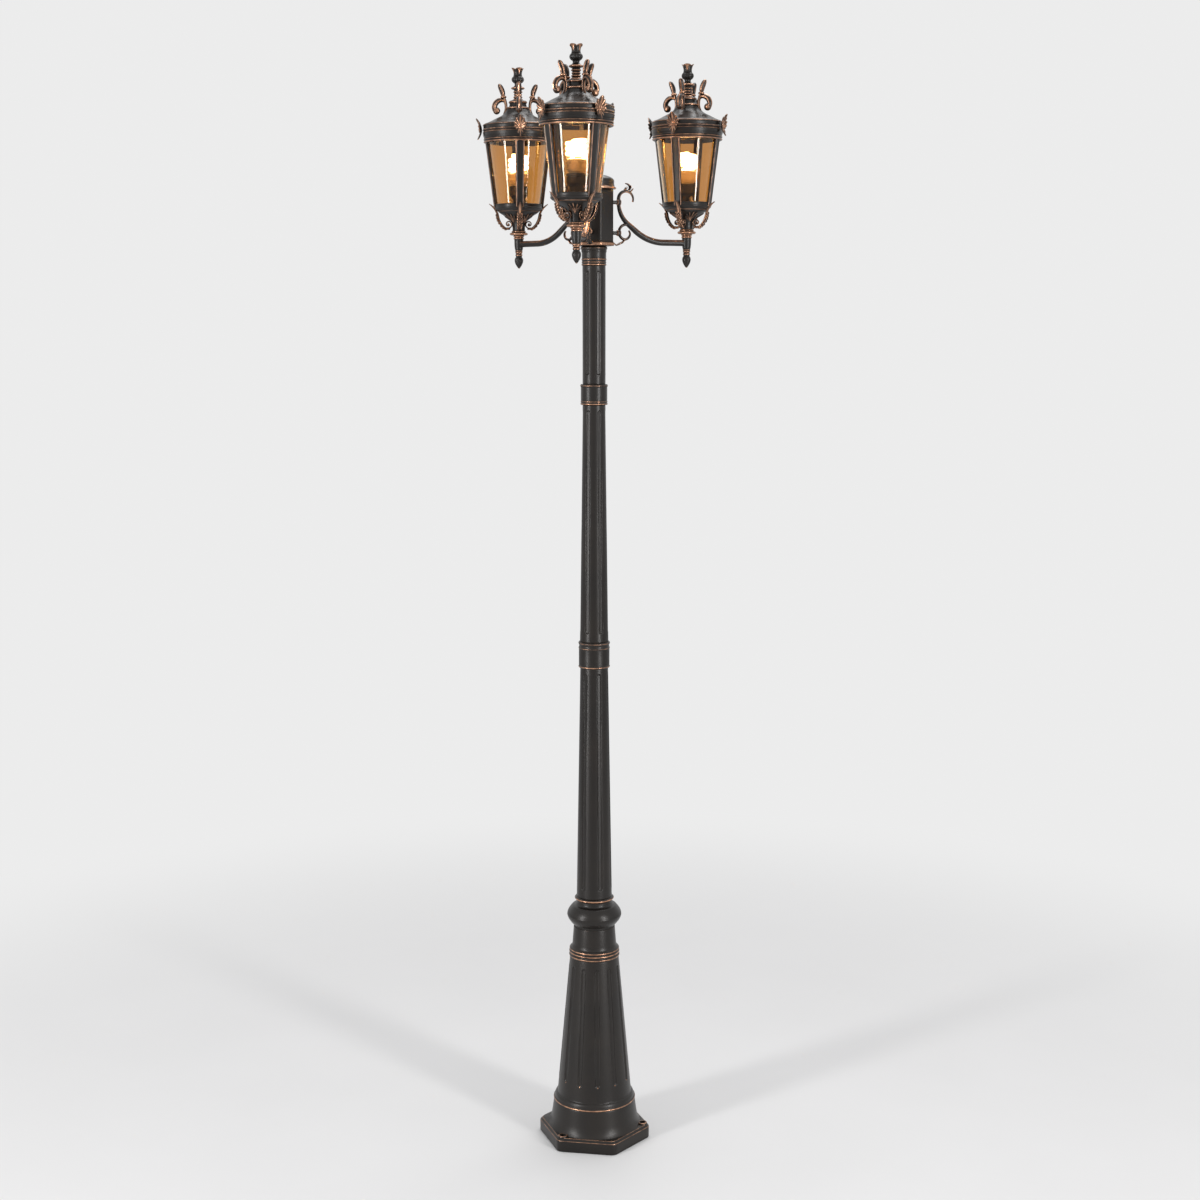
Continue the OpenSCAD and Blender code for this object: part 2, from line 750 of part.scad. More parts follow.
module drop_finial(which) {
    thread_depth = 12;
    neck_r = hub_r - 3.6;
    bud_z = drop_h * 0.62;
    color("#241f1b")
        on_lantern(which)
            translate([0, 0, -hub_h - drop_h])
                turned(concat([[0, 0], [1.4, 0]],
                    [for (a = [15 : 15 : 90]) [1.4 + (drop_r - 1.4) * sin(a), bud_z * a / 90]],
                    [for (a = [15 : 15 : 90]) [neck_r + (drop_r - neck_r) * cos(a),
                        bud_z + (drop_h - 6 - bud_z) * a / 90]],
                    bead(neck_r, drop_h - 5, 5, 1),
                    [[nipple_r + fit_gap, drop_h], [nipple_r + fit_gap, drop_h - thread_depth],
                        [0, drop_h - thread_depth]]));
}

module lantern_nipples() {
    low = -hub_h - 11;
    color("#8d8478")
        for (which = lanterns)
            on_lantern(which)
                translate([0, 0, low])
                    difference() {
                        cylinder(h = bowl_floor_z + nut_t + 2 - low, r = nipple_r);
                        translate([0, 0, -1])
                            cylinder(h = bowl_floor_z + nut_t + 4 - low, r = nipple_bore_r);
                    }
}

bowl_floor_z = bowl_collar_h + 4;

// Outer profile of the bowl above its collar: a slim core that opens into a dish
bowl_side = [[bowl_core_r, bowl_collar_h + 1], [bowl_core_r + 0.4, bowl_collar_h + 9],
    [bowl_core_r + 2, bowl_collar_h + 17], [bowl_core_r + 6.5, bowl_h - 17.5],
    [bowl_rim_r - 15, bowl_h - 11], [bowl_rim_r - 6, bowl_h - 5.5], [bowl_rim_r - 1.5, bowl_h - 2],
    [bowl_rim_r, bowl_h]];

module bowl_body() {
    turned(concat([[0, 0]], bead(hub_r + 0.8, 0, 3, 1), bead(bowl_collar_r - 2, 3, 6, 2),
        bead(bowl_core_r + 1, 9.5, 3, 1.4), smooth(bowl_side), [[0, bowl_h]]));
}

module bowl(which) {
    hollow = [for (p = smooth(bowl_side)) [p[0] - bowl_wall, p[1] + bowl_wall * 0.6]];
    color("#241f1b")
        on_lantern(which)
            difference() {
                union() {
                    difference() {
                        bowl_body();
                        turned(concat([[0, bowl_floor_z]],
                            [for (p = hollow) [p[0], max(p[1], bowl_floor_z)]],
                            [[bowl_rim_r - bowl_wall, bowl_h + 4], [0, bowl_h + 4]]));
                    }
                    for (side = [-1, 1])
                        intersection() {
                            translate([side * screw_offset, 0, bowl_floor_z])
                                cylinder(h = bracket_z - bowl_floor_z, r = screw_r + 2);
                            union() {
                                bowl_body();
                                translate([0, 0, bowl_h - eps])
                                    cylinder(h = bracket_z, r = bowl_rim_r - bowl_wall);
                            }
                        }
                }
                translate([0, 0, -1])
                    cylinder(h = bowl_floor_z + 2, r = nipple_r + fit_gap);
                for (side = [-1, 1])
                    translate([side * screw_offset, 0, bracket_z - 12])
                        cylinder(h = 13, r = screw_r + fit_gap / 2);
            }
}

// Height at which the cage's straps start, and the radius of their outer face
strap_foot_z = low_ring_z + 6;
function strap_out_r(z) = glass_r(z) + lift_gap + strap_t;

// Outer profile of the cage's lower ring
low_ring_side = [[bowl_rim_r + 1.5, low_ring_z], [low_ring_r - 2, low_ring_z + 3],
    [low_ring_r, strap_foot_z], [low_ring_r, bracket_z - 1], [low_ring_r - 1, bracket_z]];

// A bracket of the bowl: an acanthus back that ends in a leaf tip, and a volute against the core
acanthus = [[bowl_core_r + 7, bowl_collar_h + 5.6, 1.9, 3.6],
    [bowl_core_r + 16, bowl_collar_h + 6.6, 2, 4.6], [bowl_rim_r - 6.4, bowl_collar_h + 13, 2.5, 5.6],
    [bowl_rim_r - 1.6, bowl_h - 19.5, 2.8, 6], [bowl_rim_r + 0.2, bowl_h - 8, 2.6, 6],
    [low_ring_r - 0.6, bowl_h + 3.5, 2.3, 5], [low_ring_r + 11, bracket_z + 0.5, 0.9, 1.4]];
volute_at = [bowl_core_r + 8.5, bowl_collar_h + 15];
volute = [for (a = [-60 : -30 : -480])
    let (turned_by = (-60 - a) / 420, r = 8.5 - 5.5 * turned_by, t = 1.8 - 0.5 * turned_by)
        [volute_at[0] + r * cos(a), volute_at[1] + r * sin(a), t, 3.6]];

module bowl_scrolls(which) {
    clear_side = [for (p = concat(smooth(bowl_side), [low_ring_side[0], low_ring_side[1]],
            [for (z = [strap_foot_z, bracket_z]) [strap_out_r(z), z]]))
        [p[0] + seat_gap, p[1]]];
    color("#2c2119")
        on_lantern(which)
            difference() {
                for (turn = quarter_turns)
                    rotate([0, 0, turn])
                        union() {
                            bar(smooth(acanthus), 6);
                            bar(volute, 6);
                        }
                turned(concat([[0, 0], [bowl_collar_r + seat_gap, 0], [bowl_collar_r + seat_gap, 9.5],
                    [bowl_core_r + 2.6, 9.5], [bowl_core_r + 2.6, bowl_collar_h + 0.8]], clear_side,
                    [[0, bracket_z]]));
            }
}

// Cage strap: a bevelled bar that leans with the glass, from the lower to the upper ring
module strap() {
    hull() {
        strap_slice(strap_foot_z, strap_foot_w);
        strap_slice(top_ring_z + 6, strap_head_w);
    }
}

module strap_slice(z, w) {
    r = glass_r(z) + lift_gap;
    bevel = 2.5;
    translate([0, 0, z])
        linear_extrude(height = eps)
            polygon([[-w / 2, -r], [-w / 2, -r - 1.5], [-w / 2 + bevel, -strap_out_r(z)],
                [w / 2 - bevel, -strap_out_r(z)], [w / 2, -r - 1.5], [w / 2, -r]]);
}

module cage(which) {
    ledge_z = glass_z - lift_gap;
    low_in = bowl_rim_r - bowl_wall;
    h = top_ring_h;
    color("#241f1b")
        on_lantern(which) {
            turned(concat([[low_in, low_ring_z]], low_ring_side,
                [[glass_r(bracket_z) + lift_gap, bracket_z], [glass_r(ledge_z) + lift_gap, ledge_z],
                    [low_in, ledge_z]]));
            translate([0, 0, top_ring_z])
                turned(concat([[top_ring_in_r, 0]],
                    bead(rim_r - 3.4, 0, 5, 1.6), [[rim_r - 3, 5.5]], bead(rim_r - 2.8, 6, 3, 1),
                    [[rim_r - 2.6, h * 0.5]], cove(rim_r - 2.6, h * 0.52, rim_r - 0.8, h * 0.9),
                    [[rim_r - 0.8, h], [top_ring_in_r, h]]));
            for (turn = quarter_turns)
                rotate([0, 0, turn])
                    strap();
        }
}

module glass(which) {
    color("#b5641e", 0.5)
        on_lantern(which)
            for (turn = quarter_turns)
                rotate([0, 0, turn + pane_gap / 2])
                    rotate_extrude(angle = 90 - pane_gap)
                        polygon([[glass_foot_r - glass_t, glass_z], [glass_foot_r, glass_z],
                            [glass_head_r, glass_head_z], [glass_head_r - glass_t, glass_head_z]]);
}

// Clips hook over the head of each pane and hold it against the upper ring
module glass_clips() {
    clip_w = 8;
    clip_t = 1.2;
    hook_z = glass_head_z + seat_gap;
    hang = 10;
    outer_r = sqrt(pow(top_ring_in_r - seat_gap, 2) - pow(clip_w / 2, 2));
    inner_r = sqrt(pow(glass_r(hook_z - hang) - glass_t - seat_gap, 2) - pow(clip_w / 2, 2));
    color("#8d8478")
        for (which = lanterns, turn = [0, 90, 180, 270])
            on_lantern(which)
                rotate([0, 0, turn]) {
                    translate([-clip_w / 2, -outer_r, hook_z])
                        cube([clip_w, outer_r - inner_r + clip_t, clip_t]);
                    translate([-clip_w / 2, -inner_r, hook_z - hang])
                        cube([clip_w, clip_t, hang + clip_t]);
                }
}

module holder_bracket(which) {
    color("#8d8478")
        on_lantern(which)
            translate([0, 0, bracket_z])
                difference() {
                    translate([-bracket_len / 2, -bracket_w / 2, 0])
                        cube([bracket_len, bracket_w, bracket_t]);
                    for (side = [-1, 1])
                        translate([side * screw_offset, 0, -1])
                            cylinder(h = bracket_t + 2, r = screw_r + fit_gap);
                    translate([0, 0, -1])
                        cylinder(h = bracket_t + 2, r = nipple_r + fit_gap);
                }
}

// Dome headed screws that hold each bracket on the bosses of its bowl
module bracket_screws() {
    head_r = 4;
    color("#c9c2b4")
        for (which = lanterns, side = [-1, 1])
            on_lantern(which)
                translate([side * screw_offset, 0, holder_z]) {
                    cylinder(h = 6, r = head_r);
                    translate([0, 0, 6])
                        sphere(r = head_r - 0.5);
                    translate([0, 0, -bracket_t - 9])
                        cylinder(h = bracket_t + 9 + eps, r = screw_r);
                }
}

module lampholder(which) {
    foot_h = 14;
    socket_r = bulb_cap_r + fit_gap * 2;
    color("#141414")
        on_lantern(which)
            translate([0, 0, holder_z])
                turned([[nipple_r, 0], [holder_foot_r, 0], [holder_foot_r, foot_h - 3],
                    [holder_r, foot_h + 3], [holder_r, holder_h - 2], [holder_r - 1.5, holder_h],
                    [socket_r, holder_h], [socket_r, holder_h - bulb_cap_h - cap_play],
                    [nipple_r, foot_h - 6]]);
}

module bulb_base(which) {
    color("#efece4")
        on_lantern(which)
            translate([0, 0, ballast_z])
                turned([[0, -2 - bulb_cap_h], [bulb_cap_r - 4, -2 - bulb_cap_h],
                    [bulb_cap_r, -bulb_cap_h + 2], [bulb_cap_r, 0], [holder_foot_r + 1, 0.5],
                    [ballast_r, 7], [ballast_r, ballast_h - 3], [ballast_r - 3, ballast_h],
                    [0, ballast_h]]);
}

// Spiral tube: it winds up round the axis and comes back over its own middle
function spiral_point(t) =
    let (a = 360 * spiral_turns * t)
    [spiral_r * cos(a), spiral_r * sin(a), spiral_tube_r + 0.4 + t * (spiral_h - 2 * spiral_tube_r - 0.4)];

module spiral() {
    steps = 16 * spiral_turns;
    sides = 6;
    points = [for (i = [0 : steps])
        let (p = spiral_point(i / steps), a = 360 * spiral_turns * i / steps)
            for (k = [0 : sides - 1])
                let (b = 360 * k / sides)
                    [p[0] + spiral_tube_r * cos(b) * cos(a), p[1] + spiral_tube_r * cos(b) * sin(a),
                        p[2] + spiral_tube_r * sin(b)]];
    skin = [for (i = [0 : steps - 1]) for (k = [0 : sides - 1])
        let (a = i * sides + k, b = i * sides + (k + 1) % sides)
            [a, b, b + sides, a + sides]];
    ends = [[for (k = [sides - 1 : -1 : 0]) k], [for (k = [0 : sides - 1]) steps * sides + k]];
    polyhedron(points, concat(skin, ends));
}

module bulb_tube(which) {
    leg_r = spiral_tube_r - 0.6;
    color("#fff1cf")
        on_lantern(which)
            translate([0, 0, spiral_z]) {
                spiral();
                translate([spiral_r, 0, 0.1])
                    cylinder(h = spiral_tube_r + 0.4, r = leg_r);
                translate([-spiral_r, 0, 0.1])
                    cylinder(h = spiral_h - spiral_tube_r, r = leg_r * 0.6);
            }
}

// Outer profile of the roof, from the rim's lower edge to the neck's head
roof_outer = concat(
    [[rim_r - 1.5, roof_z]], bead(rim_r - 1.2, roof_z + 1.5, 4, 1.2),
    [[rim_r - 1.4, roof_z + 7], [rim_r - 1.4, bell_z - 5]], bead(rim_r - 1.8, bell_z - 4, 3, 0.8),
    smooth([[rim_r - 5, bell_z - 0.6], [rim_r - 11.4, bell_z + 1.4], [rim_r - 26.5, bell_z + 9],
        [rim_r - 39, bell_z + 15.5], [roof_neck_r + 9.4, bell_z + 22.5], [roof_neck_r + 5, bell_z + 28]], 2),
    bead(roof_neck_r + 4, bell_z + 29, 4, 1.4),
    [[roof_neck_r, bell_z + 36], [roof_neck_r - 1, neck_top_z - 8]],
    bead(roof_neck_r - 1.6, neck_top_z - 7.5, 6, 2), [[roof_neck_r - 7, neck_top_z]]);

module roof(which) {
    stud_r = 3;
    inner_r = top_ring_in_r - lift_gap - roof_wall;
    color("#241f1b")
        on_lantern(which)
            turned(concat(
                [[inner_r, roof_z - roof_lip_h], [top_ring_in_r - lift_gap, roof_z - roof_lip_h],
                    [top_ring_in_r - lift_gap, roof_z]],
                roof_outer,
                [[stud_r + fit_gap, neck_top_z], [stud_r + fit_gap, neck_top_z - roof_wall * 2],
                    [roof_neck_r - 4 - roof_wall, neck_top_z - roof_wall * 2],
                    [roof_neck_r - roof_wall, bell_z + 32], [roof_neck_r + 3, bell_z + 22],
                    [rim_r - 41, bell_z + 12], [rim_r - 28, bell_z + 5], [rim_r - 14, bell_z - 2],
                    [inner_r, bell_z - 4]]));
}

// A bracket of the roof: a stem along the neck with a leaf blade, and a scroll that curls outwards
roof_blade = [[roof_neck_r + 10, bell_z + 20, 2.2, 3.4], [roof_neck_r + 6.4, bell_z + 29, 2.6, 3.6],
    [roof_neck_r + 6.6, neck_top_z - 9, 2.8, 3.8], [roof_neck_r + 9.4, neck_top_z + 1, 3, 4],
    [roof_neck_r + 11.4, neck_top_z + 9, 3, 4.2], [roof_neck_r + 12.4, neck_top_z + 17, 3.4, 4.4],
    [roof_neck_r + 14.6, neck_top_z + 26, 3.4, 4.2], [roof_neck_r + 17.6, neck_top_z + 33, 2.4, 3],
    [roof_neck_r + 20, neck_top_z + 37.5, 1, 1.4]];
roof_curl = [[roof_neck_r + 9, neck_top_z - 2.5, 2.4, 3.4], [roof_neck_r + 14, neck_top_z, 2.9, 3.8],
    [roof_neck_r + 21, neck_top_z - 1.2, 3.3, 4.2], [roof_neck_r + 27.6, neck_top_z - 6.4, 3.5, 4.2],
    [roof_neck_r + 31, neck_top_z - 14.2, 3.5, 4.2], [roof_neck_r + 29, neck_top_z - 20.6, 3.3, 4]];
curl_ball_at = [roof_neck_r + 27.2, neck_top_z - 22];
curl_ball_r = 5.8;

module roof_scrolls(which) {
    color("#2c2119")
        on_lantern(which)
            difference() {
                for (turn = quarter_turns)
                    rotate([0, 0, turn])
                        union() {
                            bar(smooth(roof_blade), 6);
                            bar(smooth(roof_curl), 6);
                            translate([0, -curl_ball_at[0], curl_ball_at[1]])
                                sphere(r = curl_ball_r);
                        }
                turned(concat([[0, roof_z]], [for (p = roof_outer) [p[0] + seat_gap, p[1]]],
                    [[0, neck_top_z]]));
            }
}

// One lobe of a rim leaf, swung round the leaf's root by the given angle
leaf_root = [rim_r + 1.8, roof_z + 3];

module leaf_lobe(swing, rows) {
    translate([0, -leaf_root[0], leaf_root[1]])
        rotate([0, swing, 0])
            translate([0, leaf_root[0], -leaf_root[1]])
                bar(rows, 6);
}

module rim_leaf() {
    r = leaf_root[0];
    z = leaf_root[1];
    middle = [[r, z - 4, 2, 4], [r + 2.5, z + 6, 2.6, 5],
        [r + 5, z + 14, 2.2, 4.6], [r + 10, z + 22, 0.9, 1.4]];
    side = [[r, z - 2, 2, 3.6], [r + 2.5, z + 5, 2.4, 4.4],
        [r + 5, z + 11, 2, 3.6], [r + 7.5, z + 15.5, 0.8, 1.2]];
    chin = [[r, z, 2.2, 5], [r + 2, z - 8, 2.6, 5.4],
        [r + 4.5, z - 15, 2, 4], [r + 8.5, z - 20, 0.9, 1.4]];
    leaf_lobe(0, middle);
    leaf_lobe(0, chin);
    for (swing = [-78, -40, 40, 78])
        leaf_lobe(swing, side);
}

module rim_leaves(which) {
    color("#6b4a34")
        on_lantern(which)
            difference() {
                for (turn = quarter_turns)
                    rotate([0, 0, turn])
                        rim_leaf();
                turned(concat([[0, roof_z - 40], [rim_r + lift_gap + seat_gap, roof_z - 40],
                    [rim_r + lift_gap + seat_gap, roof_z]],
                    [for (p = roof_outer) [p[0] + seat_gap, p[1] + seat_gap]], [[0, neck_top_z]]));
            }
}

module crown_finial(which) {
    bulb_z = crown_h - 22;
    stud_r = 3;
    color("#2c2119")
        on_lantern(which)
            translate([0, 0, neck_top_z])
                difference() {
                    turned(concat([[0, -roof_wall * 2 + 1], [stud_r, -roof_wall * 2 + 1], [stud_r, 0],
                        [roof_neck_r - 7.5, 0], [9, 3]],
                        bead(8, 4, 4, 1.6), bead(7.4, 9, 4, 1.6), bead(8, 14, 5, 2),
                        bead(8.5, bulb_z - 20, 4, 5.9), [[6.5, bulb_z - 12]],
                        [for (a = [0 : 20 : 160]) [6.5 + (crown_bulb_r - 6.5) * sin(a * 180 / 160),
                            bulb_z - 11 + a * 0.13]],
                        [[8.6, crown_h - 11], [11, crown_h - 4], [crown_bulb_r + 0.8, crown_h],
                            [crown_bulb_r - 2, crown_h], [7, crown_h - 9], [0, crown_h - 10]]));
                    for (turn = [0 : 90 : 270])
                        rotate([0, 0, turn])
                            translate([0, 0, crown_h - 2])
                                crown_notch();
                }
}

// Notch between two petals of the crown
module crown_notch() {
    reach = 20;
    rotate([90, 0, 0])
        linear_extrude(height = reach)
            polygon([[-4.5, 3], [0, -5], [4.5, 3]]);
}

base_casting();
base_collar();
lower_tube();
lower_coupling();
middle_tube();
upper_coupling();
upper_tube();
top_collar();
junction_box();
box_cap();
terminal_block();
terminal_screws();
earth_stud();
arm_nipples();
lantern_nipples();
lock_nuts();
bracket_screws();
glass_clips();
arm(front);  // arm_front
arm(right);  // arm_right
arm(left);  // arm_left
drop_finial(front);  // drop_finial_front
drop_finial(right);  // drop_finial_right
drop_finial(left);  // drop_finial_left
bowl(front);  // bowl_front
bowl(right);  // bowl_right
bowl(left);  // bowl_left
bowl_scrolls(front);  // bowl_scrolls_front
bowl_scrolls(right);  // bowl_scrolls_right
bowl_scrolls(left);  // bowl_scrolls_left
cage(front);  // cage_front
cage(right);  // cage_right
cage(left);  // cage_left
glass(front);  // glass_front
glass(right);  // glass_right
glass(left);  // glass_left
holder_bracket(front);  // holder_bracket_front
holder_bracket(right);  // holder_bracket_right
holder_bracket(left);  // holder_bracket_left
lampholder(front);  // lampholder_front
lampholder(right);  // lampholder_right
lampholder(left);  // lampholder_left
bulb_base(front);  // bulb_base_front
bulb_base(right);  // bulb_base_right
bulb_base(left);  // bulb_base_left
bulb_tube(front);  // bulb_tube_front
bulb_tube(right);  // bulb_tube_right
bulb_tube(left);  // bulb_tube_left
roof(front);  // roof_front
roof(right);  // roof_right
roof(left);  // roof_left
roof_scrolls(front);  // roof_scrolls_front
roof_scrolls(right);  // roof_scrolls_right
roof_scrolls(left);  // roof_scrolls_left
rim_leaves(front);  // rim_leaves_front
rim_leaves(right);  // rim_leaves_right
rim_leaves(left);  // rim_leaves_left
crown_finial(front);  // crown_finial_front
crown_finial(right);  // crown_finial_right
crown_finial(left);  // crown_finial_left
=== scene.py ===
from math import cos, hypot, pi, radians, sin, tau

import bpy
import numpy as np
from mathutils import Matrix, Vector


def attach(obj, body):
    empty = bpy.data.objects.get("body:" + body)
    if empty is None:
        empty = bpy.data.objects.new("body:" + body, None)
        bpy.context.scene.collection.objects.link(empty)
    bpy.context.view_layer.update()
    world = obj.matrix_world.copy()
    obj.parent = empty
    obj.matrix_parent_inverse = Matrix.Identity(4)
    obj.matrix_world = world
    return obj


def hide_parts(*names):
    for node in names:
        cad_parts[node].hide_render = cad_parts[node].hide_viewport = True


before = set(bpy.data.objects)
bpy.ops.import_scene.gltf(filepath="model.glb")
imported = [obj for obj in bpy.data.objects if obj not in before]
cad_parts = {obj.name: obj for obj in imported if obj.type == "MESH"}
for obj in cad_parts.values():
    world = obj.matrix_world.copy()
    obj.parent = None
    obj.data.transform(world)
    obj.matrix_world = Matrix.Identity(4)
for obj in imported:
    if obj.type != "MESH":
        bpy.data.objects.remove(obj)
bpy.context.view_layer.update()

mm = 0.001
sides = ("front", "right", "left")  # the arms, each a third of a turn from the last

# shader nodes written as expressions


class Wire:
    # one socket in a node tree; sums of wires and numbers become Math nodes
    def __init__(self, tree, socket=None):
        self.tree = tree
        self.socket = socket

    def put(self, kind, sockets=None, out=0, **settings):
        # any node: its settings go first, then the values or links of its sockets
        node = self.tree.nodes.new(kind)
        for key, value in settings.items():
            setattr(node, key, value)
        for key, value in (sockets or {}).items():
            if isinstance(value, Wire):
                self.tree.links.new(value.socket, node.inputs[key])
            else:
                node.inputs[key].default_value = value
        return Wire(self.tree, node.outputs[out])

    def end(self, kind, socket="Surface"):
        # the output node that this wire runs into
        node = self.tree.nodes.new(kind)
        self.tree.links.new(self.socket, node.inputs[socket])

    def maths(self, operation, other):
        return self.put("ShaderNodeMath", {0: self, 1: other}, operation=operation)

    def __add__(self, other):
        return self.maths("ADD", other)

    def __sub__(self, other):
        return self.maths("SUBTRACT", other)

    def __mul__(self, other):
        return self.maths("MULTIPLY", other)

    def __truediv__(self, other):
        return self.maths("DIVIDE", other)

    __radd__ = __add__

    def clipped(self, low, high):
        # 0 below low, 1 above high, smooth between
        sockets = {"Value": self, "From Min": low, "From Max": high}
        return self.put("ShaderNodeMapRange", sockets, interpolation_type="SMOOTHSTEP")

    def blend(self, first, second):
        # first where this wire is 0, second where it is 1, as colours
        return self.put("ShaderNodeMix", {"Factor": self, 6: first, 7: second}, 2, data_type="RGBA")

    def mixed(self, first, second):
        # the same for two shaders
        return self.put("ShaderNodeMixShader", {0: self, 1: first, 2: second})

    def noise(self, scale, detail=3.0, roughness=0.5):
        # noise read at the place that this wire gives
        sockets = {"Vector": self, "Scale": scale, "Detail": detail, "Roughness": roughness}
        return self.put("ShaderNodeTexNoise", sockets)

    def bumps(self, strength, distance):
        return self.put("ShaderNodeBump", {"Height": self, "Strength": strength, "Distance": distance})


def newMaterial(name):
    material = bpy.data.materials.new(name)
    material.use_nodes = True
    material.node_tree.nodes.clear()
    start = Wire(material.node_tree)
    return material, start, start.put("ShaderNodeTexCoord", out="Object")


def finished(material, surface):
    surface.end("ShaderNodeOutputMaterial")
    return material


def darker(colour, share):
    return tuple(share * c for c in colour[:3]) + (1,)


bronzeLook = {
    "paint": (0.0105, 0.0085, 0.0072, 1),  # near black antique bronze
    "paintWarm": (0.0150, 0.0115, 0.0090, 1),  # where the coat is thin
    "copper": (0.56, 0.31, 0.19, 1),  # rubbed edges
    "copperDark": (0.24, 0.125, 0.08, 1),
    "grain": 620.0,  # sandy grain of the coat, per metre
    "brush": 75.0,  # patches of the rubbing
    "cloud": 14.0,
    "bare": 0.62,  # rub and patches together, from which copper shows
    "rough": 0.285,
}


def antiqueBronze(name, rubbed):
    # cast aluminium under dark paint, with copper rubbed through on the raised edges
    look = bronzeLook
    material, start, where = newMaterial(name)
    rub = start.put("ShaderNodeAttribute", out="Fac", attribute_name="rub")
    patches = where.noise(look["brush"], 4.0, 0.6)
    cloud = where.noise(look["cloud"])
    grain = where.noise(look["grain"], 2.0, 0.6)
    wear = (rub * rubbed + patches * 0.5 - look["bare"]).clipped(0.0, 0.5)
    coat = cloud.clipped(0.3, 0.8).blend(look["paint"], look["paintWarm"])
    edge = patches.clipped(0.3, 0.7).blend(look["copperDark"], look["copper"])
    rough = look["rough"] + grain * 0.08 + cloud * 0.015 - wear * 0.07
    return finished(material, start.put("ShaderNodeBsdfPrincipled", {
        "Base Color": wear.blend(coat, edge), "Metallic": 0.2 + wear * 0.55, "Roughness": rough,
        "Normal": grain.bumps(0.14, 0.0004), "Specular IOR Level": 0.42}))


amberLook = {"tint": (0.76, 0.50, 0.24, 1), "shadow": (0.72, 0.47, 0.22, 1), "waves": 22.0}


def amberGlass():
    # curved panes, tinted through, that let the lamp's light out
    look = amberLook
    material, start, where = newMaterial("amberGlass")
    body = start.put("ShaderNodeBsdfPrincipled", {
        "Base Color": look["tint"], "Transmission Weight": 1.0, "Roughness": 0.02, "IOR": 1.45,
        "Normal": where.noise(look["waves"], 1.0).bumps(0.12, 0.001)})
    clear = start.put("ShaderNodeBsdfTransparent", {"Color": look["shadow"]})
    return finished(material, start.put("ShaderNodeLightPath", out="Is Shadow Ray").mixed(body, clear))


def platedSteel(name, colour, rough):
    # streaked plate with darker spots
    material, start, where = newMaterial(name)
    return finished(material, start.put("ShaderNodeBsdfPrincipled", {
        "Base Color": where.noise(130.0).clipped(0.3, 0.75).blend(colour, darker(colour, 0.72)),
        "Metallic": 0.95, "Roughness": rough + where.noise(900.0, 2.0) * 0.16}))


def mouldedPlastic(name, colour, rough):
    material, start, where = newMaterial(name)
    grain = where.noise(1500.0, 2.0)
    return finished(material, start.put("ShaderNodeBsdfPrincipled", {
        "Base Color": where.noise(30.0, 2.0).clipped(0.3, 0.7).blend(colour, darker(colour, 0.9)),
        "Roughness": rough + grain * 0.12, "Normal": grain.bumps(0.12, 0.0002)}))


glowLook = {"body": (0.95, 0.93, 0.88, 1), "warm": (1.0, 0.82, 0.54, 1), "pale": (1.0, 0.87, 0.64, 1),
            "strength": 16.0}


def lampGlow():
    # phosphor coated tube, lit, its light a little uneven
    look = glowLook
    material, start, where = newMaterial("lampGlow")
    return finished(material, start.put("ShaderNodeBsdfPrincipled", {
        "Base Color": look["body"], "Roughness": 0.25, "Emission Strength": look["strength"],
        "Emission Color": where.noise(60.0, 2.0).clipped(0.2, 0.8).blend(look["warm"], look["pale"])}))


bronze = antiqueBronze("antiqueBronze", 0.85)
rubbedBronze = antiqueBronze("copperRubbedBronze", 1.15)
amber = amberGlass()
zinc = platedSteel("zincPlate", (0.62, 0.60, 0.56, 1), 0.26)
brass = platedSteel("turnedBrass", (0.62, 0.43, 0.17, 1), 0.24)
blackPlastic = mouldedPlastic("blackPlastic", (0.014, 0.014, 0.015, 1), 0.42)
whitePlastic = mouldedPlastic("whitePlastic", (0.80, 0.78, 0.72, 1), 0.34)
glow = lampGlow()
print("materials ready")

# every shape is (points in mm, faces, rub per point), and rub is how bare the copper is


def joined(*shapes):
    points, faces, rub, start = [], [], [], 0
    for p, f, r in shapes:
        points.append(p)
        rub.append(r)
        faces += [[i + start for i in face] for face in f]
        start += len(p)
    return np.vstack(points), faces, np.concatenate(rub)


def moved(shape, shift):
    return shape[0] + np.array(shift), shape[1], shape[2]


def turnedRound(shape, angle, shift=(0, 0, 0)):
    # shape turned about Z, then moved
    c, s = cos(angle), sin(angle)
    return moved((shape[0] @ np.array([[c, s, 0], [-s, c, 0], [0, 0, 1]]), shape[1], shape[2]), shift)


def fourRound(shape, first=pi / 4):
    # shape at four places round Z, by default where the cage's straps stand
    return joined(*[turnedRound(shape, first + k * tau / 4) for k in range(4)])


def dulled(shape, low, high, share):
    # less bare copper between two heights
    points, faces, rub = shape
    between = (points[:, 2] > low) & (points[:, 2] < high)
    return points, faces, rub * np.where(between, share, 1)


def bead(r, z, h, out, n=12):
    # a round moulding of height h that stands out from radius r
    return [(r + out * sin(pi * i / n), z + h * i / n) for i in range(n + 1)]


def cove(r0, z0, r1, z1, n=10):
    # a hollow quarter round between two points
    steps = [pi / 2 * i / n for i in range(n + 1)]
    return [(r0 + (r1 - r0) * sin(a), z0 + (z1 - z0) * (1 - cos(a))) for a in steps]


def curve(rows, n=6):
    # smooth curve through rows of numbers, n steps between neighbours
    rows = np.array(rows, float)
    out = []
    for i in range(len(rows) - 1):
        a, b, c, d = rows[max(i - 1, 0)], rows[i], rows[i + 1], rows[min(i + 2, len(rows) - 1)]
        for k in range(n):
            t = k / n
            out.append(0.5 * (2 * b + (c - a) * t + (2 * a - 5 * b + 4 * c - d) * t * t
                              + (3 * b - a - 3 * c + d) * t ** 3))
    return np.array(out + [rows[-1]])


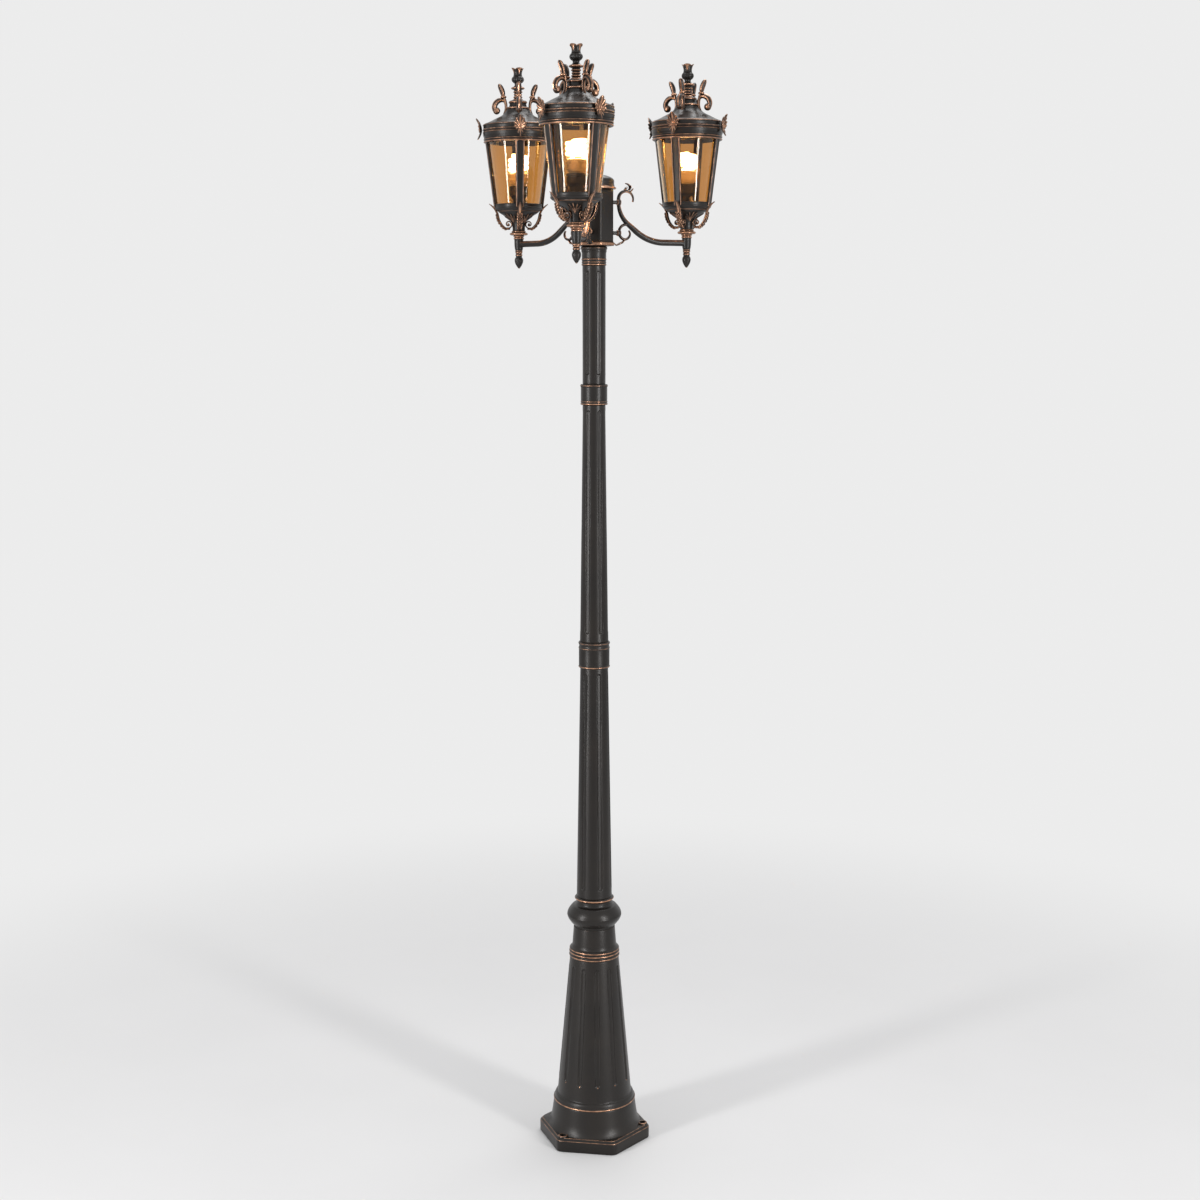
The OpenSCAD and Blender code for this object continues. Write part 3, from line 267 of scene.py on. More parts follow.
def blurred(values, spread):
    # values run through a bell curve, with both ends kept in place
    reach = min(max(int(3 * spread), 1), len(values) - 1)
    bell = np.exp(-0.5 * (np.arange(-reach, reach + 1) / spread) ** 2)
    head = 2 * values[0] - values[1:reach + 1][::-1]
    tail = 2 * values[-1] - values[-reach - 1:-1][::-1]
    return np.convolve(np.concatenate([head, values, tail]), bell / bell.sum(), "valid")


edgeLook = {"spread": 0.9, "from": 0.06, "full": 0.40}  # mm, and bend per mm where copper starts and is bare


def softened(rows, soft=0.55, step=0.5):
    # a profile in even steps with its corners eased, and how far each point stands out
    rows = np.array(rows, float)
    rows = rows[np.r_[True, np.hypot(*np.diff(rows, axis=0).T) > 1e-6]]
    along = np.r_[0, np.cumsum(np.hypot(*np.diff(rows, axis=0).T))]
    even = np.linspace(0, along[-1], max(int(along[-1] / step), 6) + 1)
    fine = np.column_stack([blurred(np.interp(even, along, rows[:, k]), soft / step) for k in (0, 1)])
    way = np.unwrap(np.arctan2(*np.gradient(fine, axis=0).T[::-1]))
    bend = blurred(np.gradient(way) / (even[1] - even[0]), edgeLook["spread"] / step)
    return fine, np.clip((bend - edgeLook["from"]) / (edgeLook["full"] - edgeLook["from"]), 0, 1)


def thinned(rows, slack=0.02, longest=25.0):
    # the rows to keep, so that none lies further than slack from the line between its neighbours
    keep, spans = {0, len(rows) - 1}, [(0, len(rows) - 1)]
    while spans:
        a, b = spans.pop()
        if b - a < 2:
            continue
        chord = rows[b] - rows[a]
        length = max(hypot(*chord), 1e-9)
        between = rows[a + 1:b] - rows[a]
        off = np.abs(chord[0] * between[:, 1] - chord[1] * between[:, 0]) / length
        k = int(off.argmax())
        if off[k] > slack or length > longest:
            middle = a + 1 + k if off[k] > slack else (a + b) // 2
            keep.add(middle)
            spans += [(a, middle), (middle, b)]
    return sorted(keep)


def lathe(rows, rub, columns=128, warp=None):
    # rows of (r, z) spun about Z; a row on the axis is one pole, and a profile that starts off it is closed
    rows = np.array(rows, float)
    theta = np.arange(columns) * tau / columns
    radius = np.repeat(rows[:, :1], columns, axis=1)
    if warp:
        radius = warp(radius, np.repeat(rows[:, 1:], columns, axis=1), theta[None, :])
    points, index, start = [], [], 0
    for around, (r, z) in zip(radius, rows):
        if r < 1e-4:
            points.append([[0, 0, z]])
            index.append([start] * columns)
        else:
            points.append(np.column_stack([around * np.cos(theta), around * np.sin(theta), [z] * columns]))
            index.append(range(start, start + columns))
        start += len(points[-1])
    pairs = list(zip(index, index[1:]))
    if rows[0, 0] > 1e-4:
        pairs.append((index[-1], index[0]))
    faces = []
    for low, high in pairs:
        for k in range(columns):
            n = (k + 1) % columns
            face = list(dict.fromkeys([low[k], low[n], high[n], high[k]]))
            if len(face) > 2:
                faces.append(face)
    return np.vstack(points), faces, np.repeat(np.array(rub, float), [len(p) for p in points])


def shell(fine, rub, keep, inner, columns, warp):
    # the kept rows of the outside and all of the inside, spun; the inside has no bare copper
    return lathe([*fine[keep], *inner], [*rub[keep], *[0] * len(inner)], columns, warp)


def turned(outer, inner=(), columns=128, warp=None, soft=0.55, slack=0.02):
    # a cast and turned piece: outer runs upwards, inner comes back down inside
    fine, rub = softened(outer, soft)
    return shell(fine, rub, thinned(fine, slack), inner, columns, warp)


def stitched(rows, around):
    # faces between neighbouring rows of points, each row closed on itself
    pairs = [(k, (k + 1) % around) for k in range(around)]
    return [[p + k, p + n, p + around + n, p + around + k]
            for p in range(0, (rows - 1) * around, around) for k, n in pairs]


def sweep(path, side, halfT, halfW, section=12, ridge=0.0, crest=0.9, edge=0.5, back=0.0, spread=1.5):
    # a bar along a path; its face looks to side x tangent, and ridge draws the face to a peak
    path = np.array(path, float)
    count = len(path)
    side = np.zeros((count, 3)) + side
    halfT = np.zeros(count) + halfT
    halfW = np.zeros(count) + halfW
    tangent = np.gradient(path, axis=0)
    tangent /= np.linalg.norm(tangent, axis=1)[:, None]
    side = side - (side * tangent).sum(axis=1)[:, None] * tangent
    side /= np.linalg.norm(side, axis=1)[:, None]
    face = np.cross(side, tangent)
    a = tau * np.arange(section) / section
    peak = 1 - np.abs(np.sin(a))
    lift = np.where(np.cos(a) > 0, (1 - ridge) * np.cos(a) + ridge * peak, np.cos(a))
    points = (path[:, None, :] + face[:, None, :] * (halfT[:, None] * lift)[:, :, None]
              + side[:, None, :] * (halfW[:, None] * np.sin(a))[:, :, None]).reshape(-1, 3)
    mark = np.maximum(np.where(np.cos(a) > 0, crest * peak ** spread, back * peak ** 1.5),
                      edge * np.abs(np.sin(a)) ** 5)
    faces = stitched(count, section)
    foot, tip, last = count * section, count * section + 1, (count - 1) * section
    for k in range(section):
        n = (k + 1) % section
        faces += [[foot, n, k], [tip, last + k, last + n]]
    rub = np.concatenate([np.tile(mark, count), [crest * 0.6, crest]])
    return np.vstack([points, path[:1], path[-1:]]), faces, rub


def radialBar(rows, n=6, hand=1, **look):
    # bar in the plane of a bracket: rows of (r, z, half thickness, half width), with r along -Y
    rows = curve(rows, n)
    path = np.column_stack([np.zeros(len(rows)), -rows[:, 0], rows[:, 1]])
    return sweep(path, (hand, 0, 0), rows[:, 2], rows[:, 3], **look)


def leaf(controls, side, width, thick, n=5, ridge=0.5, crest=0.9, edge=0.8, fullAt=0.45):
    # one lobe of a leaf along a few points, widest at fullAt and drawn to a soft tip
    root, tip, around = 0.5, 0.10, 10
    path = curve(controls, n)
    s = np.linspace(0, 1, len(path))
    growing = root + (1 - root) * np.sin(pi / 2 * s / fullAt)
    closing = np.maximum(np.cos(pi / 2 * (s - fullAt) / (1 - fullAt)), 0) ** 0.75
    shape = np.maximum(np.where(s < fullAt, growing, closing), tip)
    return sweep(path, side, thick * (0.35 + 0.65 * shape), width * shape, around, ridge, crest, edge)


# geometry nodes make what repeats round an axis or follows a path


def newTree(name, inputs):
    # inputs gives the kind of socket for each label
    tree = bpy.data.node_groups.new(name, "GeometryNodeTree")
    for label, kind in inputs.items():
        tree.interface.new_socket(label, in_out="INPUT", socket_type="NodeSocket" + kind)
    tree.interface.new_socket("Geometry", in_out="OUTPUT", socket_type="NodeSocketGeometry")
    given = tree.nodes.new("NodeGroupInput")
    return Wire(tree), {label: Wire(tree, given.outputs[label]) for label in inputs}


def endTree(geometry, material):
    whole = geometry.put("GeometryNodeRealizeInstances", {"Geometry": geometry})
    painted = geometry.put("GeometryNodeSetMaterial", {"Geometry": whole, "Material": material})
    painted.end("NodeGroupOutput", "Geometry")
    return geometry.tree


sharpFrom = radians(48)  # shading breaks at edges that turn further


def newObject(name, shape):
    points, faces, rub = shape
    mesh = bpy.data.meshes.new(name)
    mesh.from_pydata((points * mm).tolist(), [], faces)
    mesh.attributes.new("rub", "FLOAT", "POINT").data.foreach_set("value", rub.astype(np.float32))
    mesh.polygons.foreach_set("use_smooth", [True] * len(mesh.polygons))
    mesh.set_sharp_from_angle(angle=sharpFrom)
    mesh.update()
    made = bpy.data.objects.new(name, mesh)
    bpy.context.collection.objects.link(made)
    return made


def discard(made):
    mesh = made.data
    bpy.data.objects.remove(made)
    bpy.data.meshes.remove(mesh)


def evaluated(made):
    # the shape that an object's modifiers give; the object is removed with them
    bpy.context.view_layer.update()
    graph = bpy.context.evaluated_depsgraph_get()
    mesh = bpy.data.meshes.new_from_object(made.evaluated_get(graph))
    points = np.empty(len(mesh.vertices) * 3, np.float32)
    mesh.vertices.foreach_get("co", points)
    rub = np.zeros(len(mesh.vertices), np.float32)
    if "rub" in mesh.attributes:
        mesh.attributes["rub"].data.foreach_get("value", rub)
    faces = [list(face.vertices) for face in mesh.polygons]
    discard(made)
    bpy.data.meshes.remove(mesh)
    return points.reshape(-1, 3).astype(float) / mm, faces, rub.astype(float)


def baked(tree, values):
    # the shape that a tree makes from these values of its inputs
    carrier = bpy.data.objects.new("carrier", bpy.data.meshes.new("carrier"))
    bpy.context.collection.objects.link(carrier)
    modifier = carrier.modifiers.new("make", "NODES")
    modifier.node_group = tree
    for item in tree.interface.items_tree:
        if item.in_out == "INPUT":
            modifier[item.identifier] = values[item.name]
    return evaluated(carrier)


def ringTree():
    # copies of one object, turned round the Z axis
    start, given = newTree("ringOfPieces", {
        "Piece": "Object", "Count": "Int", "First Angle": "Float", "Material": "Material"})
    angle = given["First Angle"] + start.put("GeometryNodeInputIndex") * tau / given["Count"]
    copies = start.put("GeometryNodeInstanceOnPoints", {
        "Points": start.put("GeometryNodePoints", {"Count": given["Count"]}),
        "Instance": start.put("GeometryNodeObjectInfo", {"Object": given["Piece"]}, "Geometry"),
        "Rotation": start.put("ShaderNodeCombineXYZ", {"Z": angle})})
    return endTree(copies, given["Material"])


ringOfPieces = ringTree()


def ring(shape, count, first=0.0, material=bronze):
    # shape repeated round the Z axis, from the angle first
    base = newObject("ringPiece", shape)
    made = baked(ringOfPieces, {"Piece": base, "Count": count, "First Angle": first, "Material": material})
    discard(base)
    return made


# putting pieces on their bodies


def piece(name, shape, material, body="post", node=None):
    # the CAD node has the piece's own name with underscores, unless another is given
    made = newObject(name, shape)
    made.data.materials.append(material)
    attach(made, body)
    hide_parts(node or "".join("_" + c.lower() if c.isupper() else c for c in name))


lanternPlace = {"reach": 207.0, "zero": 1952.0}  # its axis from the post's, and its bowl's underside


def onLantern(shape, k):
    # a lantern's shape, at its place on one of the arms
    angle, reach = tau * k / 3, lanternPlace["reach"]
    return turnedRound(shape, angle, (reach * sin(angle), -reach * cos(angle), lanternPlace["zero"]))


def onLanterns(name, shape, material, body="post", node=None):
    # one copy of a lantern's piece for each arm; body gets the arm's name where it moves
    for k, side in enumerate(sides):
        rider = body if body == "post" else body + "_" + side
        piece(name + side.capitalize(), onLantern(shape, k), material, rider, node and node + "_" + side)


# the post, from the ground up


def hexagonal(flags, trim=2.5, sharp=1.2):
    # rows with a flag become a hexagon; its corners lose trim, and are rounder where sharp is less
    flags = np.array(flags, bool)[:, None]

    def warp(r, z, theta):
        flat = r * cos(pi / 6) / np.cos(theta % (pi / 3) - pi / 6)
        eased = -np.log(np.exp(-flat * sharp) + np.exp(-(r - trim) * sharp)) / sharp
        return np.where(flags, eased, r)
    return warp


def fluted(look, low, high, turn):
    # flutes with round ends, pressed into the wall between two heights
    def warp(r, z, theta):
        step = tau / look["flutes"]
        across = r * ((theta - turn + step / 2) % step - step / 2)
        beyond = np.maximum(np.maximum(low - z, z - high), 0)
        share = np.minimum((across ** 2 + beyond ** 2) / (look["wide"] / 2) ** 2, 1)
        return r - look["deep"] * (1 - share ** 3)
    return warp


def withFlutes(outer, inner, columns, look, low, high, turn, more=()):
    # a turned piece with flutes between two heights, and closer rows where they end
    beyond, within, count = 2.4, 2.0, 15
    ends = np.linspace(-look["wide"] / 2 - beyond, within, count)
    fine, rub = softened(outer)
    keep = set(thinned(fine))
    for z in [*(low + ends), *(high - ends), *more]:
        keep.add(int(np.abs(fine[:, 1] - z).argmin()))
    return shell(fine, rub, sorted(keep), inner, columns, fluted(look, low, high, turn))


def withPaintedGlints(shape, look):
    # painted highlights: bright copper spots in the rub at the lower ends of the flutes, standing in for the
    # lamps' glints in the flutes' round ends
    points, faces, rub = shape
    step = tau / look["flutes"]
    across = (np.arctan2(points[:, 1], points[:, 0]) - look["turn"] + step / 2) % step - step / 2
    across *= np.hypot(points[:, 0], points[:, 1])
    radius, over, highlightRub = look["paintedGlint"]
    up = points[:, 2] - look["low"] + look["wide"] / 2 - over
    return points, faces, np.maximum(rub, highlightRub * np.exp(-(across ** 2 + up ** 2) / radius ** 2))


# the radius of the way for the wires, and how deep the castings screw into each other
joint = {"bore": 14.0, "spigot": 20.0, "socket": 20.3}
basePlate = {"corner": 124.0, "thick": 30.0, "inner": 82.3, "boltCircle": 107.0, "boltR": 6.0, "bossR": 10.0}


def plateShape():
    s = basePlate
    r, top, hole = s["corner"], s["thick"], s["boltR"]
    rows = np.array([
        (s["inner"], 0, 0, 0), (r - 1.5, 0, 1, 0), (r - 0.3, 0.5, 1, 0), (r, 1.6, 1, 0), (r, top - 6.4, 1, 0),
        (r - 0.3, top - 5.2, 1, 1), (r - 1.1, top - 4.3, 1, 0.1), (r - 4.6, top - 0.7, 1, 0.1),
        (r - 5.4, top - 0.2, 1, 1.1), (r - 6.2, top, 1, 0.05), (97, top, 0, 0), (s["inner"], top, 0, 0)])
    plate = newObject("plateBlank", lathe(rows[:, :2], rows[:, 3], 240, hexagonal(rows[:, 2])))
    drill = lathe([(0, -5), (hole, -5), (hole, top + 8), (0, top + 8)], [0] * 4, 32)
    drills = newObject("drills", ring(moved(drill, (s["boltCircle"], 0, 0)), 3))
    cut = plate.modifiers.new("boltHoles", "BOOLEAN")
    cut.operation = "DIFFERENCE"
    cut.object = drills
    cut.solver = "EXACT"
    shape = evaluated(plate)
    discard(drills)
    return shape


def bossShape():
    # the raised ring round a bolt hole
    s = basePlate
    r, hole = s["bossR"], s["boltR"]
    rows = [(hole, -0.5), (r + 0.8, -0.5), (r + 0.2, 0.8), (r, 2.2), (r - 0.8, 3), (hole + 1, 3), (hole, 2.2)]
    return moved(lathe(rows, [0, 0, 0, 0.8, 0.9, 0.6, 0], 40), (s["boltCircle"], 0, s["thick"]))


# a painted glint, a highlight put into the copper rub at each flute's lower end, has its radius, its height
# over the flute's foot and its rub
baseCone = {"skirt": 102.0, "band": 88.3, "foot": 80.5, "footZ": 103.5, "head": 53.0, "headZ": 409.0,
            "neck": 44.5, "top": 478.0, "socketR": 38.5, "flutes": 12, "wide": 10.0, "deep": 2.4,
            "low": 141.0, "high": 389.0, "turn": tau / 24, "paintedGlint": (1.7, 0.3, 1.2)}


def coneShape():
    s = baseCone
    foot, head, top, under = s["foot"], s["head"], s["top"], basePlate["inner"]
    outer = [*curve([(s["skirt"], 29.4), (97.6, 36), (94.4, 46), (92.0, 60), (90.0, 74), (88.6, 85)], 5),
             *bead(s["band"] - 0.5, 86, 5.0, 1.9),
             *[(foot + 0.6 + 5.6 * cos(a), 91.4 + 9.8 * sin(a)) for a in np.radians(range(0, 91, 9))],
             (foot, s["footZ"]), (head, s["headZ"]), *bead(head - 0.4, 410.5, 6.6, 2.4),
             *bead(52.4, 418.6, 5.6, 2.4), *bead(52.0, 425.4, 5.4, 2.0), *cove(51.0, 432.0, 47.2, 443),
             (s["neck"], top - 0.6), (s["neck"] - 0.6, top)]
    inner = [(s["socketR"], top), (s["socketR"], 446), (47.2, 405), (74.5, 101), (under, 86), (under, 29.4)]
    between = np.linspace(150, 380, 10)
    # the flutes' lower ends get painted highlights in the copper rub
    return withPaintedGlints(withFlutes(outer, inner, 384, s, s["low"], s["high"], s["turn"], between), s)


bosses = ring(bossShape(), 3)
piece("baseCasting", joined(plateShape(), bosses, coneShape()), bronze)

collarLook = {"foot": 478.1, "top": 545.0, "spigotR": 38.3, "socketR": 30.0, "head": 38.0,
              "bulge": (47.6, 484.4, 40.4, 11.0, 30), "bulgeTop": 59.1}


def collarShape():
    s = collarLook
    foot, top, head, high = s["foot"], s["top"], s["head"], s["bulgeTop"]
    bulge = bead(*s["bulge"])
    outer = [(42.9, foot), (42.9, foot + 4.5), (46.2, 484), *bulge[:15], (high - 0.5, 503.2), (high, 504.0),
             (high - 0.5, 504.8), *bulge[16:], *cove(43.8, 526, 38.2, 532), (head, 535.6),
             *bead(head, 537, 8, 4.5), (head, top)]
    floor, low = top - joint["socket"], baseCone["top"] - joint["spigot"]
    inner = [(s["socketR"], top), (s["socketR"], floor), (joint["bore"], floor), (joint["bore"], low),
             (s["spigotR"], low), (s["spigotR"], foot)]
    return turned(outer, inner, 144)


piece("baseCollar", collarShape(), bronze)

tubeLook = {"flutes": 6, "wide": 10.0, "deep": 2.3, "wall": 4.7, "footMargin": 24.0, "headMargin": 16.0}
# each tube's foot height, length, foot and head radius, spigot and socket radius, turn of its flutes
tubes = {"lowerTube": (545, 503, 38, 29.5, 29.85, 24, 0),
         "middleTube": (1104, 499, 30.1, 23.9, 24.85, 19.4, radians(9)),
         "upperTube": (1646, 242, 23.9, 23.9, 19.25, 19.4, radians(3))}


def tubeShape(z, length, footR, headR, spigotR, socketR, turn):
    s = tubeLook
    top, low, wall, bore = z + length, z - joint["spigot"], s["wall"], joint["bore"]
    outer = [(footR - 0.5, z + 0.1), (footR, z + 0.7), (headR, top - 0.7), (headR - 0.5, top - 0.1)]
    inner = [(socketR, top - 0.1), (socketR, top - joint["socket"]), (headR - wall, top - 40),
             (footR - wall, z + 12.5), (bore, z + 4.5), (bore, low), (spigotR, low), (spigotR, z + 0.1)]
    return withFlutes(outer, inner, 240, s, z + s["footMargin"], top - s["headMargin"], turn)


for name, sizes in tubes.items():
    piece(name, tubeShape(*sizes), bronze)

# each coupling's foot, height, spigot and socket radius, and its rings
couplings = {
    "lowerCoupling": (1048, 56, 23.85, 25, [
        *bead(32.1, 0.2, 5, 1.5), (32.5, 7), (32.5, 39.5), *bead(32.5, 40.5, 3.6, 0.9), (31.7, 47),
        *bead(32.1, 49.6, 6.2, 1.5)]),
    "upperCoupling": (1603, 43, 19.25, 19.4, [
        *bead(27.3, 0.2, 4, 1.3), *bead(27.1, 5, 4, 1.2), (27.6, 11), (27.6, 35.4),
        *bead(27.3, 36.6, 6.2, 1.5)]),
    "topCollar": (1888, 40, 19.25, 19.4, [
        *bead(24.6, 0.2, 4, 1.3), *bead(24.5, 5, 4, 1.2), *bead(25.0, 11, 4, 1.2), (25.2, 17),
        *cove(25.2, 27, 26.4, 31, 6), *bead(25.6, 31.4, 8, 2.0)])}


def couplingShape(z, height, spigotR, socketR, rings):
    top, low, bore = z + height, z - joint["spigot"], joint["bore"]
    floor = top - joint["socket"]
    inner = [(socketR, top), (socketR, floor), (bore, floor), (bore, low), (spigotR, low), (spigotR, z)]
    return turned([(r, z + up) for r, up in rings], inner)


for name, sizes in couplings.items():
    piece(name, couplingShape(*sizes), bronze)

boxSizes = {"foot": 1928.0, "high": 114.0, "corner": 41.0, "flange": 43.0, "inner": 36.4, "spigotR": 19.25}


def boxShape():
    s = boxSizes
    z, r, flange, inner, spigotR = s["foot"], s["corner"], s["flange"], s["inner"], s["spigotR"]
    top, low, bore = z + s["high"], z - joint["spigot"], joint["bore"]
    rows = np.array([
        (bore, low, 0, 0), (spigotR, low, 0, 0), (spigotR, z + 0.1, 0, 0), (flange - 0.8, z + 0.1, 1, 0.3),
        (flange, z + 1, 1, 0.9), (flange, z + 5.6, 1, 0.9), (flange - 0.7, z + 6.8, 1, 0.5),
        (r + 0.9, z + 7.6, 1, 0), (r + 0.9, z + 8.2, 1, 0), (r, z + 9, 1, 0), (r, z + 12, 1, 0),
        (r, top - 8, 1, 0), (r, top - 1, 1, 0.2), (r - 0.8, top - 0.1, 1, 0.7), (inner, top - 0.1, 1, 0),
        (inner, z + 6, 1, 0), (bore, z + 6, 0, 0)])
    return lathe(rows[:, :2], rows[:, 3], 192, hexagonal(rows[:, 2], 0.9, 2.2))


piece("junctionBox", boxShape(), bronze)

capLook = {"foot": 2042.3, "spigotR": 31.2, "spigot": 10.0, "rim": 45.4, "dome": (41.5, 14.0),
           "springs": 16.0, "wall": 3.0}


def capShape():
    s = capLook
    rim, spigotR, spigot, springs, wall = s["rim"], s["spigotR"], s["spigot"], s["springs"], s["wall"]
    r, high = s["dome"]

    def dome(step, wall):
        # from its springing up to the crown, less the wall
        return [((r - wall) * cos(a), springs + (high - wall) * sin(a))
                for a in np.radians(range(0, 90, step))]
    outer = [(spigotR, -spigot), (spigotR, 0), (rim - 0.4, 0), (rim, 0.6), (rim, 3.2), (rim - 1, 4.2),
             (42.6, 4.8), *bead(41.4, 5.4, 3.4, 0.9), *dome(5, 0), (0, springs + high)]
    inner = [(0, springs + high - wall), *dome(10, wall)[::-1], (spigotR - wall, 4),
             (spigotR - wall, -spigot)]
    return moved(turned(outer, inner), (0, 0, s["foot"]))


piece("boxCap", capShape(), rubbedBronze, "cap")
print("post ready")

# the scroll arms

armSizes = {"rise": 1937.0, "half": 6.5, "hubFoot": 1917.0, "out": 54.2, "lowPeg": 1955.0, "highPeg": 2017.0,
            "hook": 70.2, "hookUp": 7.0}


def arc(r, z, radius, start, stop, n, foot, tip):
    # rows of a bar bent round (r, z); its half thickness runs from foot to tip
    rows = []
    for s in (i / n for i in range(n + 1)):
        a = radians(start + (stop - start) * s)
        half = foot + (tip - foot) * s
        rows.append((r + radius * cos(a), z + radius * sin(a), half, half * 1.05))
    return rows


def hubShape():
    # the turned hub at the arm's end
    rows = [(0, 0), (6.2, 0), *bead(6.6, 0.6, 3.6, 1.5), *bead(7.2, 4.2, 3, 1.1), (8.4, 9), (9.4, 17),
            (9.6, 25), *bead(9.6, 29.4, 5.2, 1.5), (6, 34.9), (0, 34.9)]
    return moved(turned(rows, columns=72, soft=0.4), (0, -lanternPlace["reach"], armSizes["hubFoot"]))


def pegBoss(z):
    # the round seat against the junction box, its axis along Y
    rows = [(0, -4.2), (5.4, -4.2), (6, -3.6), *bead(6, -3.2, 6.4, 0.5), (6, 3.6), (5.4, 4.2), (0, 4.2)]
    points, faces, rub = turned(rows, columns=40, soft=0.3)
    return np.column_stack([points[:, 0], points[:, 2] - armSizes["out"], z - points[:, 1]]), faces, rub


def armLeaf(r, z, rows, side, width, thick, **look):
    # rows of (across, out, up) from the leaf's place on the arm
    return leaf([(across, -(r + out), z + up) for across, out, up in rows], side, width, thick, **look)


def armShape():
    s = armSizes
    low, high, hook = s["lowPeg"], s["highPeg"], s["hook"]
    top = high + s["hookUp"]
    beam = [(lanternPlace["reach"] - 7.6, s["rise"], s["half"], s["half"]),
            *arc(155, s["rise"] + 98.5, 98.5, 270, 230, 22, 6.5, 6.2),
            *arc(109.7, high, 55.5, 230, 180, 22, 5.3, 3.9), *arc(hook, top, 16, 180, -20, 30, 3.9, 1.8)]
    scroll = []
    for a in range(75, 391, 6):
        past = max(0, a - 250)  # from here the curl tightens and thins
        r = 15.5 - past * 0.065
        scroll.append((70.5 + r * cos(radians(a)), low + 2 + r * sin(radians(a)), 2.9 - past * 0.008,
                       4.3 - past * 0.013))
    shapes = [radialBar(beam, 1, section=24, ridge=0.25, crest=1.4, edge=0.0, back=0.2, spread=0.42),
              radialBar(scroll, 1, section=14, ridge=0.3, crest=0.7, edge=0.5, back=1.1),
              hubShape(), pegBoss(low), pegBoss(high)]
    # the leaf tuft over the hook, then the leaf under the lower peg
    crown = [(0, 2, 14), (0, 8, 21), (0, 8, 27), (0, 3.5, 30.5), (0, -2, 31.5)]
    shapes.append(armLeaf(hook, top, crown, (1, 0, 0), 4.2, 2.2))
    for way in (-1, 1):
        wing = [(0, 3, 15), (way * 2.2, 8, 20), (way * 4.6, 9.5, 24.5), (way * 6.0, 8, 27.5)]
        brow = [(0, -6, 14.6), (way * 2.6, -3, 18), (way * 4.2, 0.5, 22), (way * 5.0, 0.5, 25)]
        shapes.append(armLeaf(hook, top, wing, (0.9, 0, way * 0.4), 2.4, 1.5))
        shapes.append(armLeaf(hook, top, brow, (0.9, 0, way * 0.4), 2.2, 1.4))
    shapes.append(armLeaf(hook, top, [(0, 7, 12), (0, 12, 17), (0, 16.5, 22)], (1, 0, 0), 3.0, 1.8))
    chin = [(0, 0, 0), (0, -8, -6), (0, -15, -9.6), (0, -21, -11.4), (0, -25, -7)]
    shapes.append(armLeaf(69.5, low - 13, chin, (1, 0, 0), 4.2, 2.0, fullAt=0.3))
    for way in (-1, 1):
        for at in (0, 1):
            lobe = [(0, 0, -15.5 - 3.6 * at), (way * 3, -3, -18.5 - 3.4 * at),
                    (way * 5.2, -6, -20.4 - 3.0 * at), (way * 6.2, -9, -19.4 - 2.6 * at)]
            shapes.append(armLeaf(66 - 8 * at, low, lobe, (0.9, 0.3, way * 0.3), 2.0, 1.3))
    return joined(*shapes)


arm = armShape()
for k, side in enumerate(sides):
    piece("arm" + side.capitalize(), turnedRound(arm, tau * k / 3), rubbedBronze)
print("arms ready")

# the three lanterns: heights run from the underside of the bowl, radii from the lantern's axis


def gadrooned(count, deep, low, high, fade=3.0):
    # soft lobes round a bulb, fading out towards its two ends
    def warp(r, z, theta):
        share = np.clip(np.minimum(z - low, high - z) / fade, 0, 1)
        return r - deep * share * (1 - np.abs(np.cos(theta * count / 2)))
    return warp


def slab(rows, section, bow=0.0):
    # a piece bent round the lantern's axis: rows of (z, inner radius, half width in mm) and
    # a section of (share of the half width, height above the inner face, rub)
    section = np.array(section, float)
    count = len(section)
    points = []
    for z, r, half in rows:
        angle = section[:, 0] * half / (r + bow) - pi / 2
        out = r + section[:, 1]
        points.append(np.column_stack([out * np.cos(angle), out * np.sin(angle), [z] * count]))
    ends = [list(range(count - 1, -1, -1)), list(range((len(rows) - 1) * count, len(rows) * count))]
    return np.vstack(points), stitched(len(rows), count) + ends, np.tile(section[:, 2], len(rows))


dropLook = {"foot": -66.0, "high": 30.9, "neck": 6.2, "lobes": 8}


def dropShape():
    s = dropLook
    rows = [(0, 0), (1.4, 0.2), (1.9, 0.9),
            *curve([(2.4, 1.6), (4.6, 4.6), (7.2, 9.2), (8.9, 14.2), (9.2, 18), (8.2, 21.6), (6.4, 24.2)], 5),
            *bead(s["neck"], 25.3, 5.4, 1.5), (7, s["high"]), (0, s["high"])]
    return moved(turned(rows, (), 64, gadrooned(s["lobes"], 0.35, 2, 23), soft=0.35), (0, 0, s["foot"]))


onLanterns("dropFinial", dropShape(), rubbedBronze)

# the palmette's lobes have their lengths under their swings in degrees
bowlLook = {"bore": 4.15, "floor": 16.0, "lip": 53.9, "palmetteR": 15.6, "sunk": 0.8,
            "palmette": {-72: 13, -48: 17, -24: 21, 0: 23, 24: 21, 48: 17, 72: 13}}


